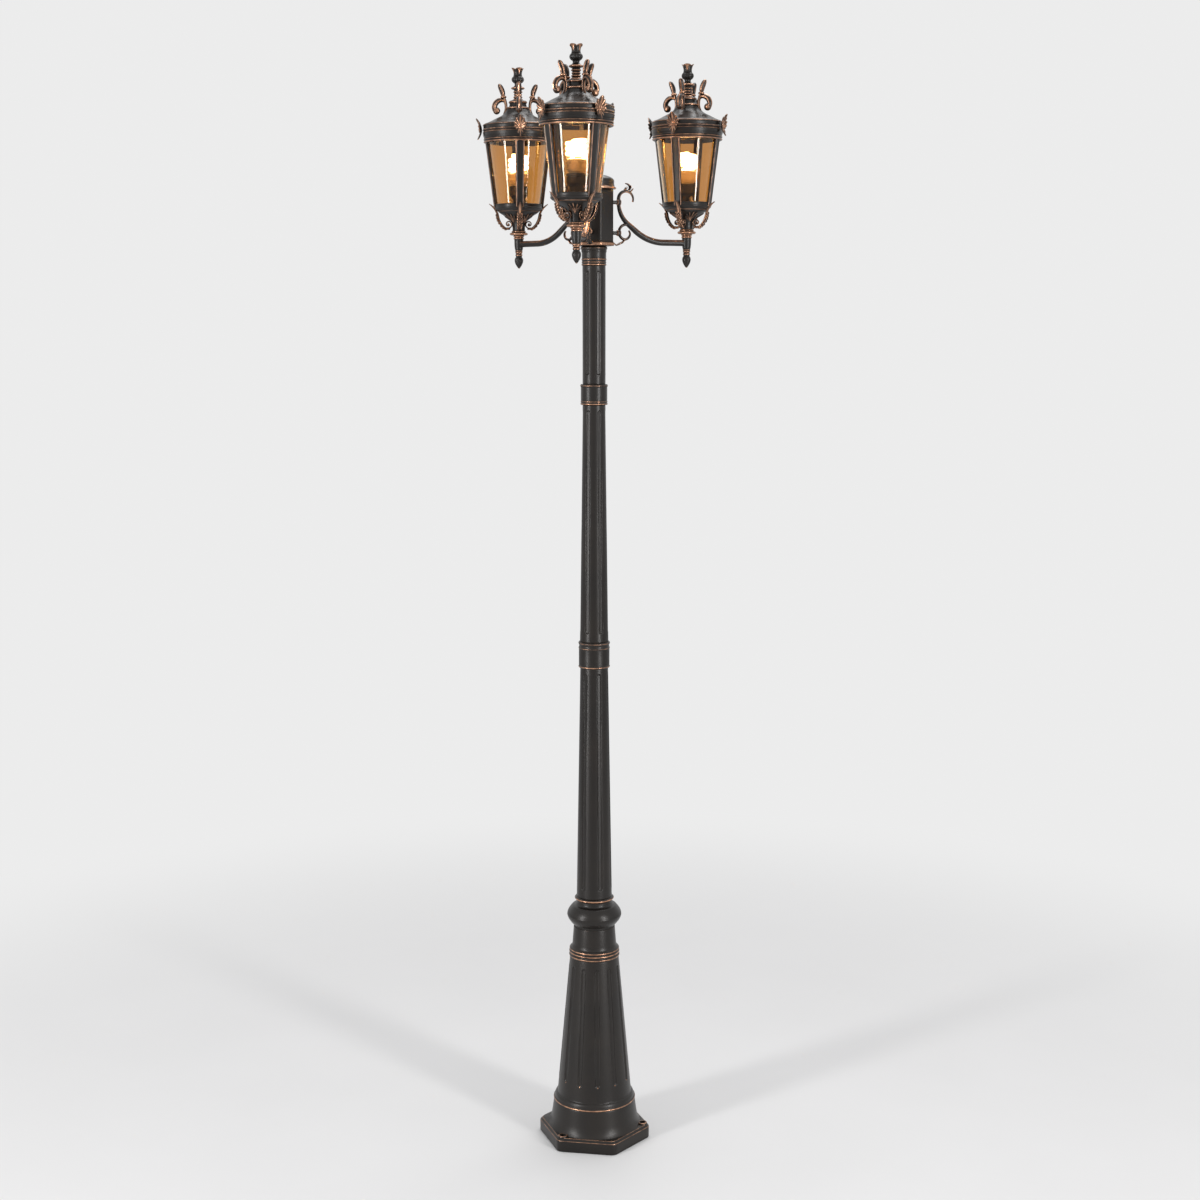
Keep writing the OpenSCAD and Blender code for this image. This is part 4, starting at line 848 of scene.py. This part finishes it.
def bowlShape():
    s = bowlLook
    bore, floor, lip = s["bore"], s["floor"], s["lip"]
    side = curve([(13.2, 13.4), (13.4, 21), (15, 29), (19.5, 36.5), (29, 43), (38, 48.5), (42.6, 51.8)])
    outer = [(bore, 0), *bead(10.4, 0.1, 3.4, 1.4), *bead(17.0, 3.7, 5.4, 2.4), *bead(13.6, 9.3, 3.6, 1.8),
             *side, (43.6, 52.4), (44, lip)]
    inner = [(41, lip), (39, 51.6), (35.4, 50.2), (27, 45.6), (17, 39.4), (12, 31), (10.2, 22), (10, floor),
             (bore, floor)]
    # a palmette in relief between each two brackets
    lobes = []
    for swing, length in s["palmette"].items():
        a = radians(swing)
        path = []
        for t in (0, 0.3, 0.6, 0.85, 1):
            across, reach = t * length * sin(a), s["palmetteR"] + t * length * cos(a * 0.9)
            height = float(np.interp(hypot(across, reach), side[:, 0], side[:, 1])) - s["sunk"]
            path.append((across, -reach, height))
        lobes.append(leaf(path, (cos(a), sin(a), 0), 2.6, 1.6, 4, 0.2, 0.8, 0.2, fullAt=0.65))
    return joined(turned(outer, inner, soft=0.4), fourRound(joined(*lobes), 0))


onLanterns("bowl", bowlShape(), rubbedBronze)

bracketLook = {
    "stem": [(18.4, 16.6, 1.5, 3.2), (24, 16.8, 1.9, 3.8), (30.5, 19.8, 2.2, 4.2), (36.4, 25.4, 2.5, 4.6),
             (40.8, 32.8, 2.7, 4.8), (43.3, 40, 2.7, 4.8), (45.2, 48.5, 2.5, 4.6), (50.4, 58, 2.1, 4.0),
             (57, 64.8, 1.5, 2.8), (62.4, 68.6, 0.8, 1.2)],
    "feathers": (0.14, 0.22, 0.30, 0.38, 0.46, 0.54, 0.62),  # shares of the stem's length
    "eye": (21.8, 26.6), "curl": (-62, -520), "reach": (8.6, 2.2), "half": (1.6, 3.4), "steps": 44}


def feathers(rows, places):
    # pairs of small lobes that curl off both edges of a stem
    rows = curve(rows)
    lobes = []
    for place in places:
        i = int(place * (len(rows) - 2))
        r, z, thick, wide = rows[i]
        along = np.array([0, -(rows[i + 1, 0] - r), rows[i + 1, 1] - z])
        along /= np.linalg.norm(along)
        out = np.cross([1.0, 0, 0], along)
        for way in (-1, 1):
            # shares of the half width, height over the stem, way along it
            steps = [(0.1, thick * 0.5, 0), (0.55, thick + 0.5, 1.8), (0.95, thick * 0.7 + 0.7, 4.0),
                     (1.12, thick * 0.1 + 0.6, 5.6)]
            path = [np.array([way * wide * share, -r, z]) + out * up + along * on for share, up, on in steps]
            side = np.array([1.0, 0, 0]) - out * way * 0.5
            lobes.append(leaf(path, side, 2.3, 1.8, 3, 0.1, 1.3, 0.6, fullAt=0.6))
    return lobes


def eyeBead(r, z, radius, half):
    # the round boss at the centre of a scroll, its axis across the scroll
    ends = [(0, 1, 0.9), (0.45, 0.94, 0.6), (0.8, 0.7, 0.4), (1, 0.25, 0.5)]
    rows = [(radius * out, -half * up) for out, up, rub in ends] + [
        (radius * out, half * up) for out, up, rub in ends[::-1]]
    marks = [rub for out, up, rub in ends]
    points, faces, rub = lathe(rows, marks + marks[::-1], 24)
    return np.column_stack([points[:, 2], points[:, 0] - r, points[:, 1] + z]), faces, rub


def bowlBracketShape():
    s = bracketLook
    (r, z), (start, stop), (wide, tight), (halfT, halfW) = s["eye"], s["curl"], s["reach"], s["half"]
    curl = []
    for t in (i / s["steps"] for i in range(s["steps"] + 1)):
        a = radians(start + (stop - start) * t)
        reach = wide + (tight - wide) * t
        curl.append((r + reach * cos(a), z + reach * sin(a), halfT * (1 - 0.25 * t), halfW * (1 - 0.12 * t)))
    # the brackets' crests and edges carry more copper than the other castings: partly rubbed copper, partly a
    # painted highlight that lifts them out of the shade under the lantern
    return fourRound(joined(
        radialBar(s["stem"], section=14, ridge=0.5, crest=1.2, edge=0.85),
        radialBar(curl, 1, -1, section=12, ridge=0.3, crest=1.15, edge=0.85),
        eyeBead(r, z, 2.4, 3.8), *feathers(s["stem"], s["feathers"])))


onLanterns("bowlScrolls", bowlBracketShape(), rubbedBronze)

glassLook = {"foot": 57.0, "head": 203.0, "footR": 46.5, "headR": 65.0, "thick": 3.0, "span": radians(43),
             "bevel": (0.012, 0.4), "columns": 22}


def glassR(z):
    # the panes' outer radius, which the straps follow
    s = glassLook
    return s["footR"] + (s["headR"] - s["footR"]) * ((z - s["foot"]) / (s["head"] - s["foot"]))


# bare copper is dulled between two heights, to a share
cageLook = {"strapFoot": 60.0, "strapHead": 200.0, "strapWide": (17.0, 21.0), "strapThick": 5.0,
            "topZ": 194.0, "inner": 66.0, "lowDull": (50, 70, 0.45), "topDull": (198.6, 220, 0.74),
            "strapDull": (50, 210, 0.84)}


def cageShape():
    s = cageLook
    low = [(41.2, 54.1), (45.4, 54.1), (47.8, 55.6), *cove(50.6, 58.4, 51.0, 60.2, 4), (50.2, 60.6),
           (50.2, 65.6), *bead(50.2, 65.8, 2.1, 0.8), (48.4, 67.9)]
    lowIn = [(46.9, 67.9), (46.9, 56.8), (41.2, 56.8)]
    top = [(s["inner"], s["topZ"]), *bead(71.2, s["topZ"] + 0.1, 3.6, 1.9), (71.2, 198.4),
           *bead(71.4, 198.8, 3.8, 1.7), (72.2, 203.4), (72.4, 206), *cove(72.4, 206.2, 73.9, 213, 8),
           *bead(73.6, 213.2, 3.2, 0.9), (73.2, 216.6)]
    thick, (foot, head) = s["strapThick"], s["strapWide"]
    half = [(0, thick - 1.3, 0.05), (0.40, thick - 1.3, 0.05), (0.62, thick - 1.0, 0.1),
            (0.72, thick - 0.1, 0.8), (0.78, thick + 0.1, 1.0), (0.86, thick - 0.1, 0.95),
            (0.95, thick - 1.0, 0.5), (1.0, thick - 2.4, 0.1)]
    section = [(u, 0, 0) for u in (1, 0.5, 0, -0.5, -1)] + [(-u, h, rub) for u, h, rub in half[:0:-1]] + half
    rows, n = [], 14
    for t in (i / n for i in range(n + 1)):
        z = s["strapFoot"] + (s["strapHead"] - s["strapFoot"]) * t
        rows.append((z, glassR(z) + 0.3, (foot + (head - foot) * t) / 2))
    return joined(dulled(turned(low, lowIn, 144, soft=0.35), *s["lowDull"]),
                  dulled(turned(top, [(s["inner"], 216.6)], 160, soft=0.35), *s["topDull"]),
                  fourRound(dulled(slab(rows, section, thick), *s["strapDull"])))


onLanterns("cage", cageShape(), bronze)


def glassShape():
    s = glassLook
    thick, (across, down), n = s["thick"], s["bevel"], s["columns"]
    face = [(-1, thick - down), (-1 + across, thick), *[(-1 + 2 * i / n, thick) for i in range(1, n)],
            (1 - across, thick), (1, thick - down)]
    section = [(u, h, 0) for u, h in face] + [(-u, thick - h, 0) for u, h in face]
    rows = []
    for z in np.linspace(s["foot"], s["head"], 4):
        r = glassR(z) - thick
        rows.append((z, r, r * s["span"]))
    return ring(slab(rows, section), 4, 0.0, amber)


onLanterns("glass", glassShape(), amber)

roofLook = {"foot": 209.6, "spigot": 65.7, "inner": 62.7, "rim": 72.8, "top": 281.9, "topIn": 276.0,
            "dull": (205, 240, 0.74)}


def roofShape():
    s = roofLook
    foot, spigot, rim, top = s["foot"], s["spigot"], s["rim"], s["top"]
    outer = [(spigot, foot), (spigot, 216.9), (rim, 217.0), *bead(rim, 218.2, 4.4, 2.0), (73.2, 223.4),
             (73.4, 227.6), *bead(rim, 228.2, 3.6, 1.5), (71.2, 232.4),
             *curve([(70.6, 233.2), (66, 234.6), (58, 238.2), (48.5, 243.2), (36, 249.4), (29.4, 255),
                     (26, 260), (24.4, 262.6)]),
             *bead(23, 263.2, 4.2, 1.8), *cove(20.6, 268.2, 17.8, 273.4, 6), *bead(17.2, 274.6, 6.2, 2.4),
             (15, 281.4), (12, top), (0, top)]
    inner = [(0, s["topIn"]), (12, s["topIn"]), (16, 266), (22, 256), (34, 246), (47, 239), (61, 232),
             (s["inner"], 230), (s["inner"], foot)]
    return dulled(turned(outer, inner, 160, soft=0.35), *s["dull"])


onLanterns("roof", roofShape(), bronze, "roof")

roofScrollLook = {
    "stem": [(29.6, 253, 2.1, 3.4), (25.8, 262, 2.7, 3.8), (25.2, 272, 3.1, 4.2), (27.2, 281, 3.3, 4.4),
             (29.2, 286.4, 3.0, 4.2)],
    "blade": [(30.8, 290, 3.4, 4.6), (31.4, 294, 4.9, 5.6), (32.8, 300, 5.6, 6.1), (35.2, 306, 5.5, 5.9),
              (37.6, 310.8, 4.8, 5.2), (39.2, 313.6, 3.2, 3.6), (39.9, 314.8, 1.7, 2.0),
              (40.2, 315.3, 0.4, 0.5)],
    "curl": [(27.6, 279, 2.6, 3.8), (32.4, 282, 4.2, 4.8), (39.2, 281.4, 5.2, 5.4), (45.6, 276.8, 5.6, 5.6),
             (49.2, 269.8, 5.6, 5.6), (49.0, 263.4, 5.2, 5.4), (46.8, 259.8, 4.6, 5.0)],
    "knop": (0, -30.2, 288.6), "knopScale": (1.45, 1.45, 0.8), "eye": (44.8, 260.2, 7.4, 6.6)}


def roofScrollShape():
    s = roofScrollLook
    bar = {"section": 14, "ridge": 0.35, "crest": 1.0, "edge": 0.75, "back": 0.5}
    rows = [(0, -3.4), (3.2, -3.0), (4.2, -1.4), (4.4, 0), (4.2, 1.4), (3.2, 3.0), (0, 3.4)]
    points, faces, rub = lathe(rows, [0.2, 0.4, 0.8, 1, 0.8, 0.4, 0.2], 24)
    return fourRound(joined(
        radialBar(s["stem"], **bar), radialBar(s["blade"], **bar), radialBar(s["curl"], hand=-1, **bar),
        moved((points * s["knopScale"], faces, rub), s["knop"]), eyeBead(*s["eye"])))


onLanterns("roofScrolls", roofScrollShape(), rubbedBronze, "roof")

leafLook = {"root": (76.0, 219.0), "reach": {0: 25.0, 24: 20.5, 48: 16.5, 72: 12.5, 96: 9.0},  # by swing
            "down": ((0, 19.5, 8.2), (26, 13.5, 5.0), (-26, 13.5, 5.0))}  # swing, reach, lean


def rimLeafShape():
    s = leafLook
    r, z = s["root"]
    lobes = []
    for swing, reach in s["reach"].items():
        width, lean = (3.7, 7.5 - swing * 0.03) if swing else (5.6, 10.9)
        for way in ((-1, 1) if swing else (1,)):
            a = radians(swing) * way
            path = [(reach * t * sin(a), -(r + 1.2 + lean * t ** 1.6), z + reach * t * cos(a))
                    for t in (0, 0.3, 0.62, 0.86, 1)]
            lobes.append(leaf(path, (cos(a), 0, -sin(a)), width, 2.2, crest=1.05, fullAt=0.62))
    for swing, reach, lean in s["down"]:
        a = radians(swing)
        path = [(reach * t * sin(a), -(r + 1.0 + lean * t ** 1.4), z + 1 - reach * t * cos(a))
                for t in (0, 0.35, 0.7, 1)]
        lobes.append(leaf(path, (-cos(a), 0, -sin(a)), 4.2, 2.0, crest=0.8, edge=0.6, fullAt=0.5))
    rows = [(0, -2.6), (2.4, -1.8), (3.2, 0), (2.4, 1.8), (0, 2.6)]
    points, faces, rub = lathe(rows, [1.0, 0.9, 0.7, 0.5, 0.2], 20)
    boss = points[:, [0, 2, 1]], [face[::-1] for face in faces], rub
    return joined(*lobes, moved(boss, (0, -(r + 2.2), z)))


onLanterns("rimLeaves", ring(rimLeafShape(), 4, tau / 8, rubbedBronze), rubbedBronze, "roof")

crownLook = {"foot": 282.0, "high": 66.0, "bulb": 13.2, "bulbZ": 42.4, "bulbHalf": 9.2, "lobes": 8,
             "cupZ": 51.6, "cupTurn": -0.51}


def crownCup(high):
    # a cup of four petals, flared, their tips parted by notches
    outside = curve([(9.4, -2.4), (8.7, 0.6), (8.9, 4.2), (9.9, 8), (11.3, 11.4), (13.4, high)], 4)
    within = [(11.8, high - 0.2), (9.4, 11), (7.6, 7), (5.4, 3.6), (0, 2.6)]
    marks = [0] + [0.15] * len(outside) + [0.1] * len(within)
    points, faces, rub = lathe([(0, -2.4), *outside, *within], marks, 96)
    share = np.clip(points[:, 2] / high, 0, 1)
    petal = np.abs(np.cos(2 * np.arctan2(points[:, 1], points[:, 0])))
    points[:, :2] *= (1 + share * (0.05 * petal - 0.07))[:, None]
    points[:, 2] -= high * 0.26 * share ** 2 * (1 - petal ** 0.6)
    return points, faces, np.clip(rub + petal ** 8 * share ** 0.5 + 1.1 * share ** 8, 0, 1.1)


def crownShape():
    s = crownLook
    bulb = [(s["bulb"] * sin(a), s["bulbZ"] - s["bulbHalf"] * cos(a)) for a in np.radians(range(34, 147, 8))]
    rows = [(0, -3), (3, -3), (3, 0), (11.5, 0), (11, 1.2), (9, 3), *bead(7.8, 4.2, 4.2, 2.0),
            *bead(7.2, 9.6, 4, 1.9), *bead(7.6, 14.8, 4.4, 2.4), (8, 20.4), (9.5, 22),
            *bead(12.6, 22.6, 4.0, 1.9), (9.4, 27.6), (6.6, 30.6), (6.6, 33), *bulb, (7.8, 51.4), (8.2, 52.6),
            (0, 52.6)]
    bud = turned(rows, (), 72, gadrooned(s["lobes"], 1.1, 33.4, 51), soft=0.35)
    cup = turnedRound(crownCup(s["high"] - s["cupZ"]), s["cupTurn"], (0, 0, s["cupZ"]))
    return moved(joined(bud, cup), (0, 0, s["foot"]))


onLanterns("crownFinial", crownShape(), rubbedBronze, "roof")
print("lantern castings ready")

holderLook = {"foot": 69.5, "footR": 14.0, "r": 19.5, "high": 36.0, "socket": 13.8, "ribs": 36,
              "ribDeep": 0.55}


def lampholderShape():
    s = holderLook
    r, footR, socket, top = s["r"], s["footR"], s["socket"], s["high"]
    outer = [(4, 0), (footR - 0.4, 0), (footR, 0.5), (footR, 10.6), (footR + 1, 12), (r - 1.4, 15.6),
             (r, 17.4), (r, 29), (r - 0.9, 29.4), (r - 0.9, 30.6), (r, 31), (r, top - 2),
             (r - 0.6, top - 0.5), (r - 1.8, top), (socket, top)]

    def ribbed(radius, height, theta):
        rib = (height > 18) & (height < 28.6) & (radius > r - 0.3)
        return radius - np.where(rib, s["ribDeep"] * (np.cos(theta * s["ribs"]) < 0), 0)
    holder = turned(outer, [(socket, 11.5), (4, 8)], 216, ribbed, soft=0.3, slack=0.03)
    return moved(holder, (0, 0, s["foot"]))


onLanterns("lampholder", lampholderShape(), blackPlastic)

nutLook = {"place": 22.0, "foot": 69.5, "r": 4.0, "high": 6.0, "dome": (3.5, 3.4), "shankR": 1.9,
           "washerR": 4.4}


def acornNutShape():
    s = nutLook
    r, top, shankR, washerR = s["r"], s["high"], s["shankR"], s["washerR"]
    wide, tall = s["dome"]
    rows = np.array([
        (0, 0, 0), (r * 1.14, 0, 1), (r * 1.14, top - 0.8, 1), (r * 0.98, top, 0),
        *[(wide * cos(a), top + 0.2 + tall * sin(a), 0) for a in np.radians(range(10, 86, 15))],
        (0, top + 0.2 + tall, 0)])
    nut = lathe(rows[:, :2], [0.6] * len(rows), 48, hexagonal(rows[:, 2], 0.35, 6.0))
    under = [(0, -10), (shankR, -9.5), (shankR, -1.7), (washerR, -1.7), (washerR, 0), (0, 0)]
    return moved(joined(nut, lathe(under, [0] * 6, 24)), (s["place"], 0, s["foot"]))


nuts = ring(acornNutShape(), 2, 0.0, zinc)
piece("bracketScrews", joined(*[onLantern(nuts, k) for k in range(3)]), zinc)

bulbLook = {"capFoot": 81.5, "capR": 13.2, "case": 107.5, "caseR": 21.0, "caseHigh": 26.0,
            "thread": (3.6, 0.9), "turns": 5}  # the thread's step and depth


def bulbCaseShape():
    s = bulbLook
    r, high = s["caseR"], s["caseHigh"]
    rows = [(0, 0), (14.0, 0), (15.2, 0.6), (18.6, 4), (20.6, 6.4), (r - 0.1, 8), (r, 14), (r - 0.5, 14.4),
            (r - 0.5, 15.2), (r, 15.6), (r - 0.2, 20), (r - 1.2, 23.6), (r - 3.4, 25.4), (r - 6, high),
            (0, high)]
    return moved(turned(rows, columns=96, soft=0.3), (0, 0, s["case"]))


def bulbCapShape():
    s = bulbLook
    r, (step, deep) = s["capR"], s["thread"]
    rows = [(0, 0), (4.4, 0), (5.2, 1.0), (9.2, 1.6), (10.6, 3.2), (r - 1.2, 4.6)]
    for turn in range(s["turns"]):
        rows += bead(r - deep, 5 + turn * step, step, deep, 8)[:-1]
    rows += [(r - 0.8, 23.4), (r - 0.8, 25.8), (0, 25.8)]
    return moved(turned(rows, columns=72, soft=0.25), (0, 0, s["capFoot"]))


onLanterns("bulbBase", bulbCaseShape(), whitePlastic, "bulb")
onLanterns("bulbCap", bulbCapShape(), zinc, "bulb", "bulb_base")

spiralLook = {"turns": 3.0, "r": 16.9, "tube": 4.4, "foot": 133.6, "high": 38.0}


def spiralTree():
    # the lamp tube: a spiral path with a round section swept along it
    start, given = newTree("woundTube", {
        "Turns": "Float", "Radius": "Float", "Rise": "Float", "Tube Radius": "Float", "Lift": "Float",
        "Material": "Material"})
    path = start.put("GeometryNodeCurveSpiral", {
        "Resolution": 40, "Rotations": given["Turns"], "Start Radius": given["Radius"],
        "End Radius": given["Radius"], "Height": given["Rise"]})
    section = start.put("GeometryNodeCurvePrimitiveCircle", {
        "Resolution": 16, "Radius": given["Tube Radius"]}, mode="RADIUS")
    tube = start.put("GeometryNodeCurveToMesh", {"Curve": path, "Profile Curve": section, "Fill Caps": True})
    lift = start.put("ShaderNodeCombineXYZ", {"Z": given["Lift"]})
    placed = start.put("GeometryNodeTransform", {"Geometry": tube, "Translation": lift})
    return endTree(placed, given["Material"])


def bulbTubeShape():
    s = spiralLook
    r, tube, foot = s["r"], s["tube"], s["foot"]
    low, rise = foot + tube + 0.3, s["high"] - 2 * tube - 0.4
    wound = baked(spiralTree(), {"Turns": s["turns"], "Radius": r * mm, "Rise": rise * mm,
                                 "Tube Radius": tube * mm, "Lift": low * mm, "Material": glow})
    # the leg down into the case, then the crossing at the top with the other leg
    leg = curve([(r, 0, foot - 0.5), (r, 0, low - 1), (r, 0, low)], 4)
    top = low + rise
    crossing = curve([(r, 0, top), (r * 0.7, 0.5, top + 0.4), (0, 0, top), (-r * 0.45, 0, top - 4),
                      (-r * 0.45, 0, foot + 8), (-r * 0.45, 0, foot - 0.5)], 8)
    return joined(wound, sweep(leg, (0, 1, 0), tube, tube, 16, crest=0, edge=0),
                  sweep(crossing, (0, 1, 0), tube * 0.96, tube * 0.96, 16, crest=0, edge=0))


onLanterns("bulbTube", bulbTubeShape(), glow, "bulb")
print("lamps ready")

# CAD pieces that stay, with their finishes
kept = {"terminal_block": whitePlastic, "terminal_screws": brass, "earth_stud": brass, "arm_nipples": bronze,
        "lantern_nipples": zinc, "lock_nuts": zinc, "glass_clips": zinc,
        **{"holder_bracket_" + side: zinc for side in sides}}
for name, material in kept.items():
    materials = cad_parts[name].data.materials
    materials.clear()
    materials.append(material)

# the floor, the plain background and the light
stageLook = {"floor": 12.0, "pale": (0.82, 0.81, 0.80, 1), "beyond": (0.84, 0.84, 0.84, 1), "fadeFrom": 0.7,
             "fadeTo": 2.7, "air": (0.86, 0.88, 0.92, 1), "airStrength": 0.45}


def paleFloor():
    # lit as it is near the lamp post for its shadow, and the plain background colour further out
    look = stageLook
    material, start, where = newMaterial("paleFloor")
    shade = where.noise(3.0, 2.0).clipped(0.2, 0.8).blend(look["pale"], darker(look["pale"], 0.98))
    surface = start.put("ShaderNodeBsdfPrincipled", {"Base Color": shade, "Roughness": 0.75})
    away = start.put("ShaderNodeVectorMath", {0: where}, "Value", operation="LENGTH")
    seen = start.put("ShaderNodeLightPath", out="Is Camera Ray")
    beyond = start.put("ShaderNodeEmission", {"Color": look["beyond"], "Strength": 1.0})
    part = away.clipped(look["fadeFrom"], look["fadeTo"]) * seen
    return finished(material, part.mixed(surface, beyond))


corners = np.array([(-1, -1, 0), (1, -1, 0), (1, 1, 0), (-1, 1, 0)]) * stageLook["floor"] / mm
floor = newObject("floor", (corners, [[0, 1, 2, 3]], np.zeros(4)))
floor.data.materials.append(paleFloor())

world = bpy.data.worlds.new("studio")
bpy.context.scene.world = world
world.use_nodes = True
world.node_tree.nodes.clear()
air = Wire(world.node_tree)
# the background seen by the camera, in gloss and through glass; elsewhere a dimmer light
camera, glossy, through = [
    air.put("ShaderNodeLightPath", out="Is " + ray + " Ray") for ray in ("Camera", "Glossy", "Transmission")]
plain = air.put("ShaderNodeBackground", {"Color": stageLook["air"], "Strength": stageLook["airStrength"]})
pale = air.put("ShaderNodeBackground", {"Color": stageLook["beyond"], "Strength": 1.0})
seen = camera.maths("MAXIMUM", glossy.maths("MAXIMUM", through))
seen.mixed(plain, pale).end("ShaderNodeOutputWorld")


def stood(name, data, place, way):
    # a light or a camera at its place, looking along way
    made = bpy.data.objects.new(name, data)
    bpy.context.collection.objects.link(made)
    made.location = place
    made.rotation_euler = Vector(way).to_track_quat("-Z", "Y").to_euler()
    return made


lampLook = {
    "leftBox": {"at": (-2.5, -2.6, 1.6), "aim": (0, 0, 1.3), "size": (0.4, 2.8), "watts": 75},
    "rightBox": {"at": (2.9, -2.2, 1.6), "aim": (0, 0, 1.3), "size": (0.4, 2.8), "watts": 75},
    "overhead": {"at": (0.2, 0.9, 4.2), "aim": (0, 0, 1.5), "size": (2.0, 2.0), "watts": 60},
}
for name, look in lampLook.items():
    lamp = bpy.data.lights.new(name, "AREA")
    lamp.shape = "RECTANGLE"
    lamp.size, lamp.size_y = look["size"]
    lamp.energy = look["watts"]
    stood(name, lamp, look["at"], Vector(look["aim"]) - Vector(look["at"]))

# the camera stands where the photo was taken from
cameraLook = {"lens": 54.91, "film": 36.0, "turn": radians(9.311), "away": 3.8297, "aside": 0.01237,
              "high": 1.7707, "down": radians(8.594)}


def placedCamera():
    s = cameraLook
    turn, down, away, aside = s["turn"], s["down"], s["away"], s["aside"]
    eye = bpy.data.cameras.new("camera")
    eye.lens = s["lens"]
    eye.sensor_width = s["film"]
    eye.clip_end = 60.0
    place = (away * sin(turn) + aside * cos(turn), -away * cos(turn) + aside * sin(turn), s["high"])
    return stood("camera", eye, place, (-sin(turn) * cos(down), cos(turn) * cos(down), -sin(down)))


bpy.context.scene.camera = placedCamera()
bpy.context.scene.view_settings.view_transform = "Standard"
print("stage ready")
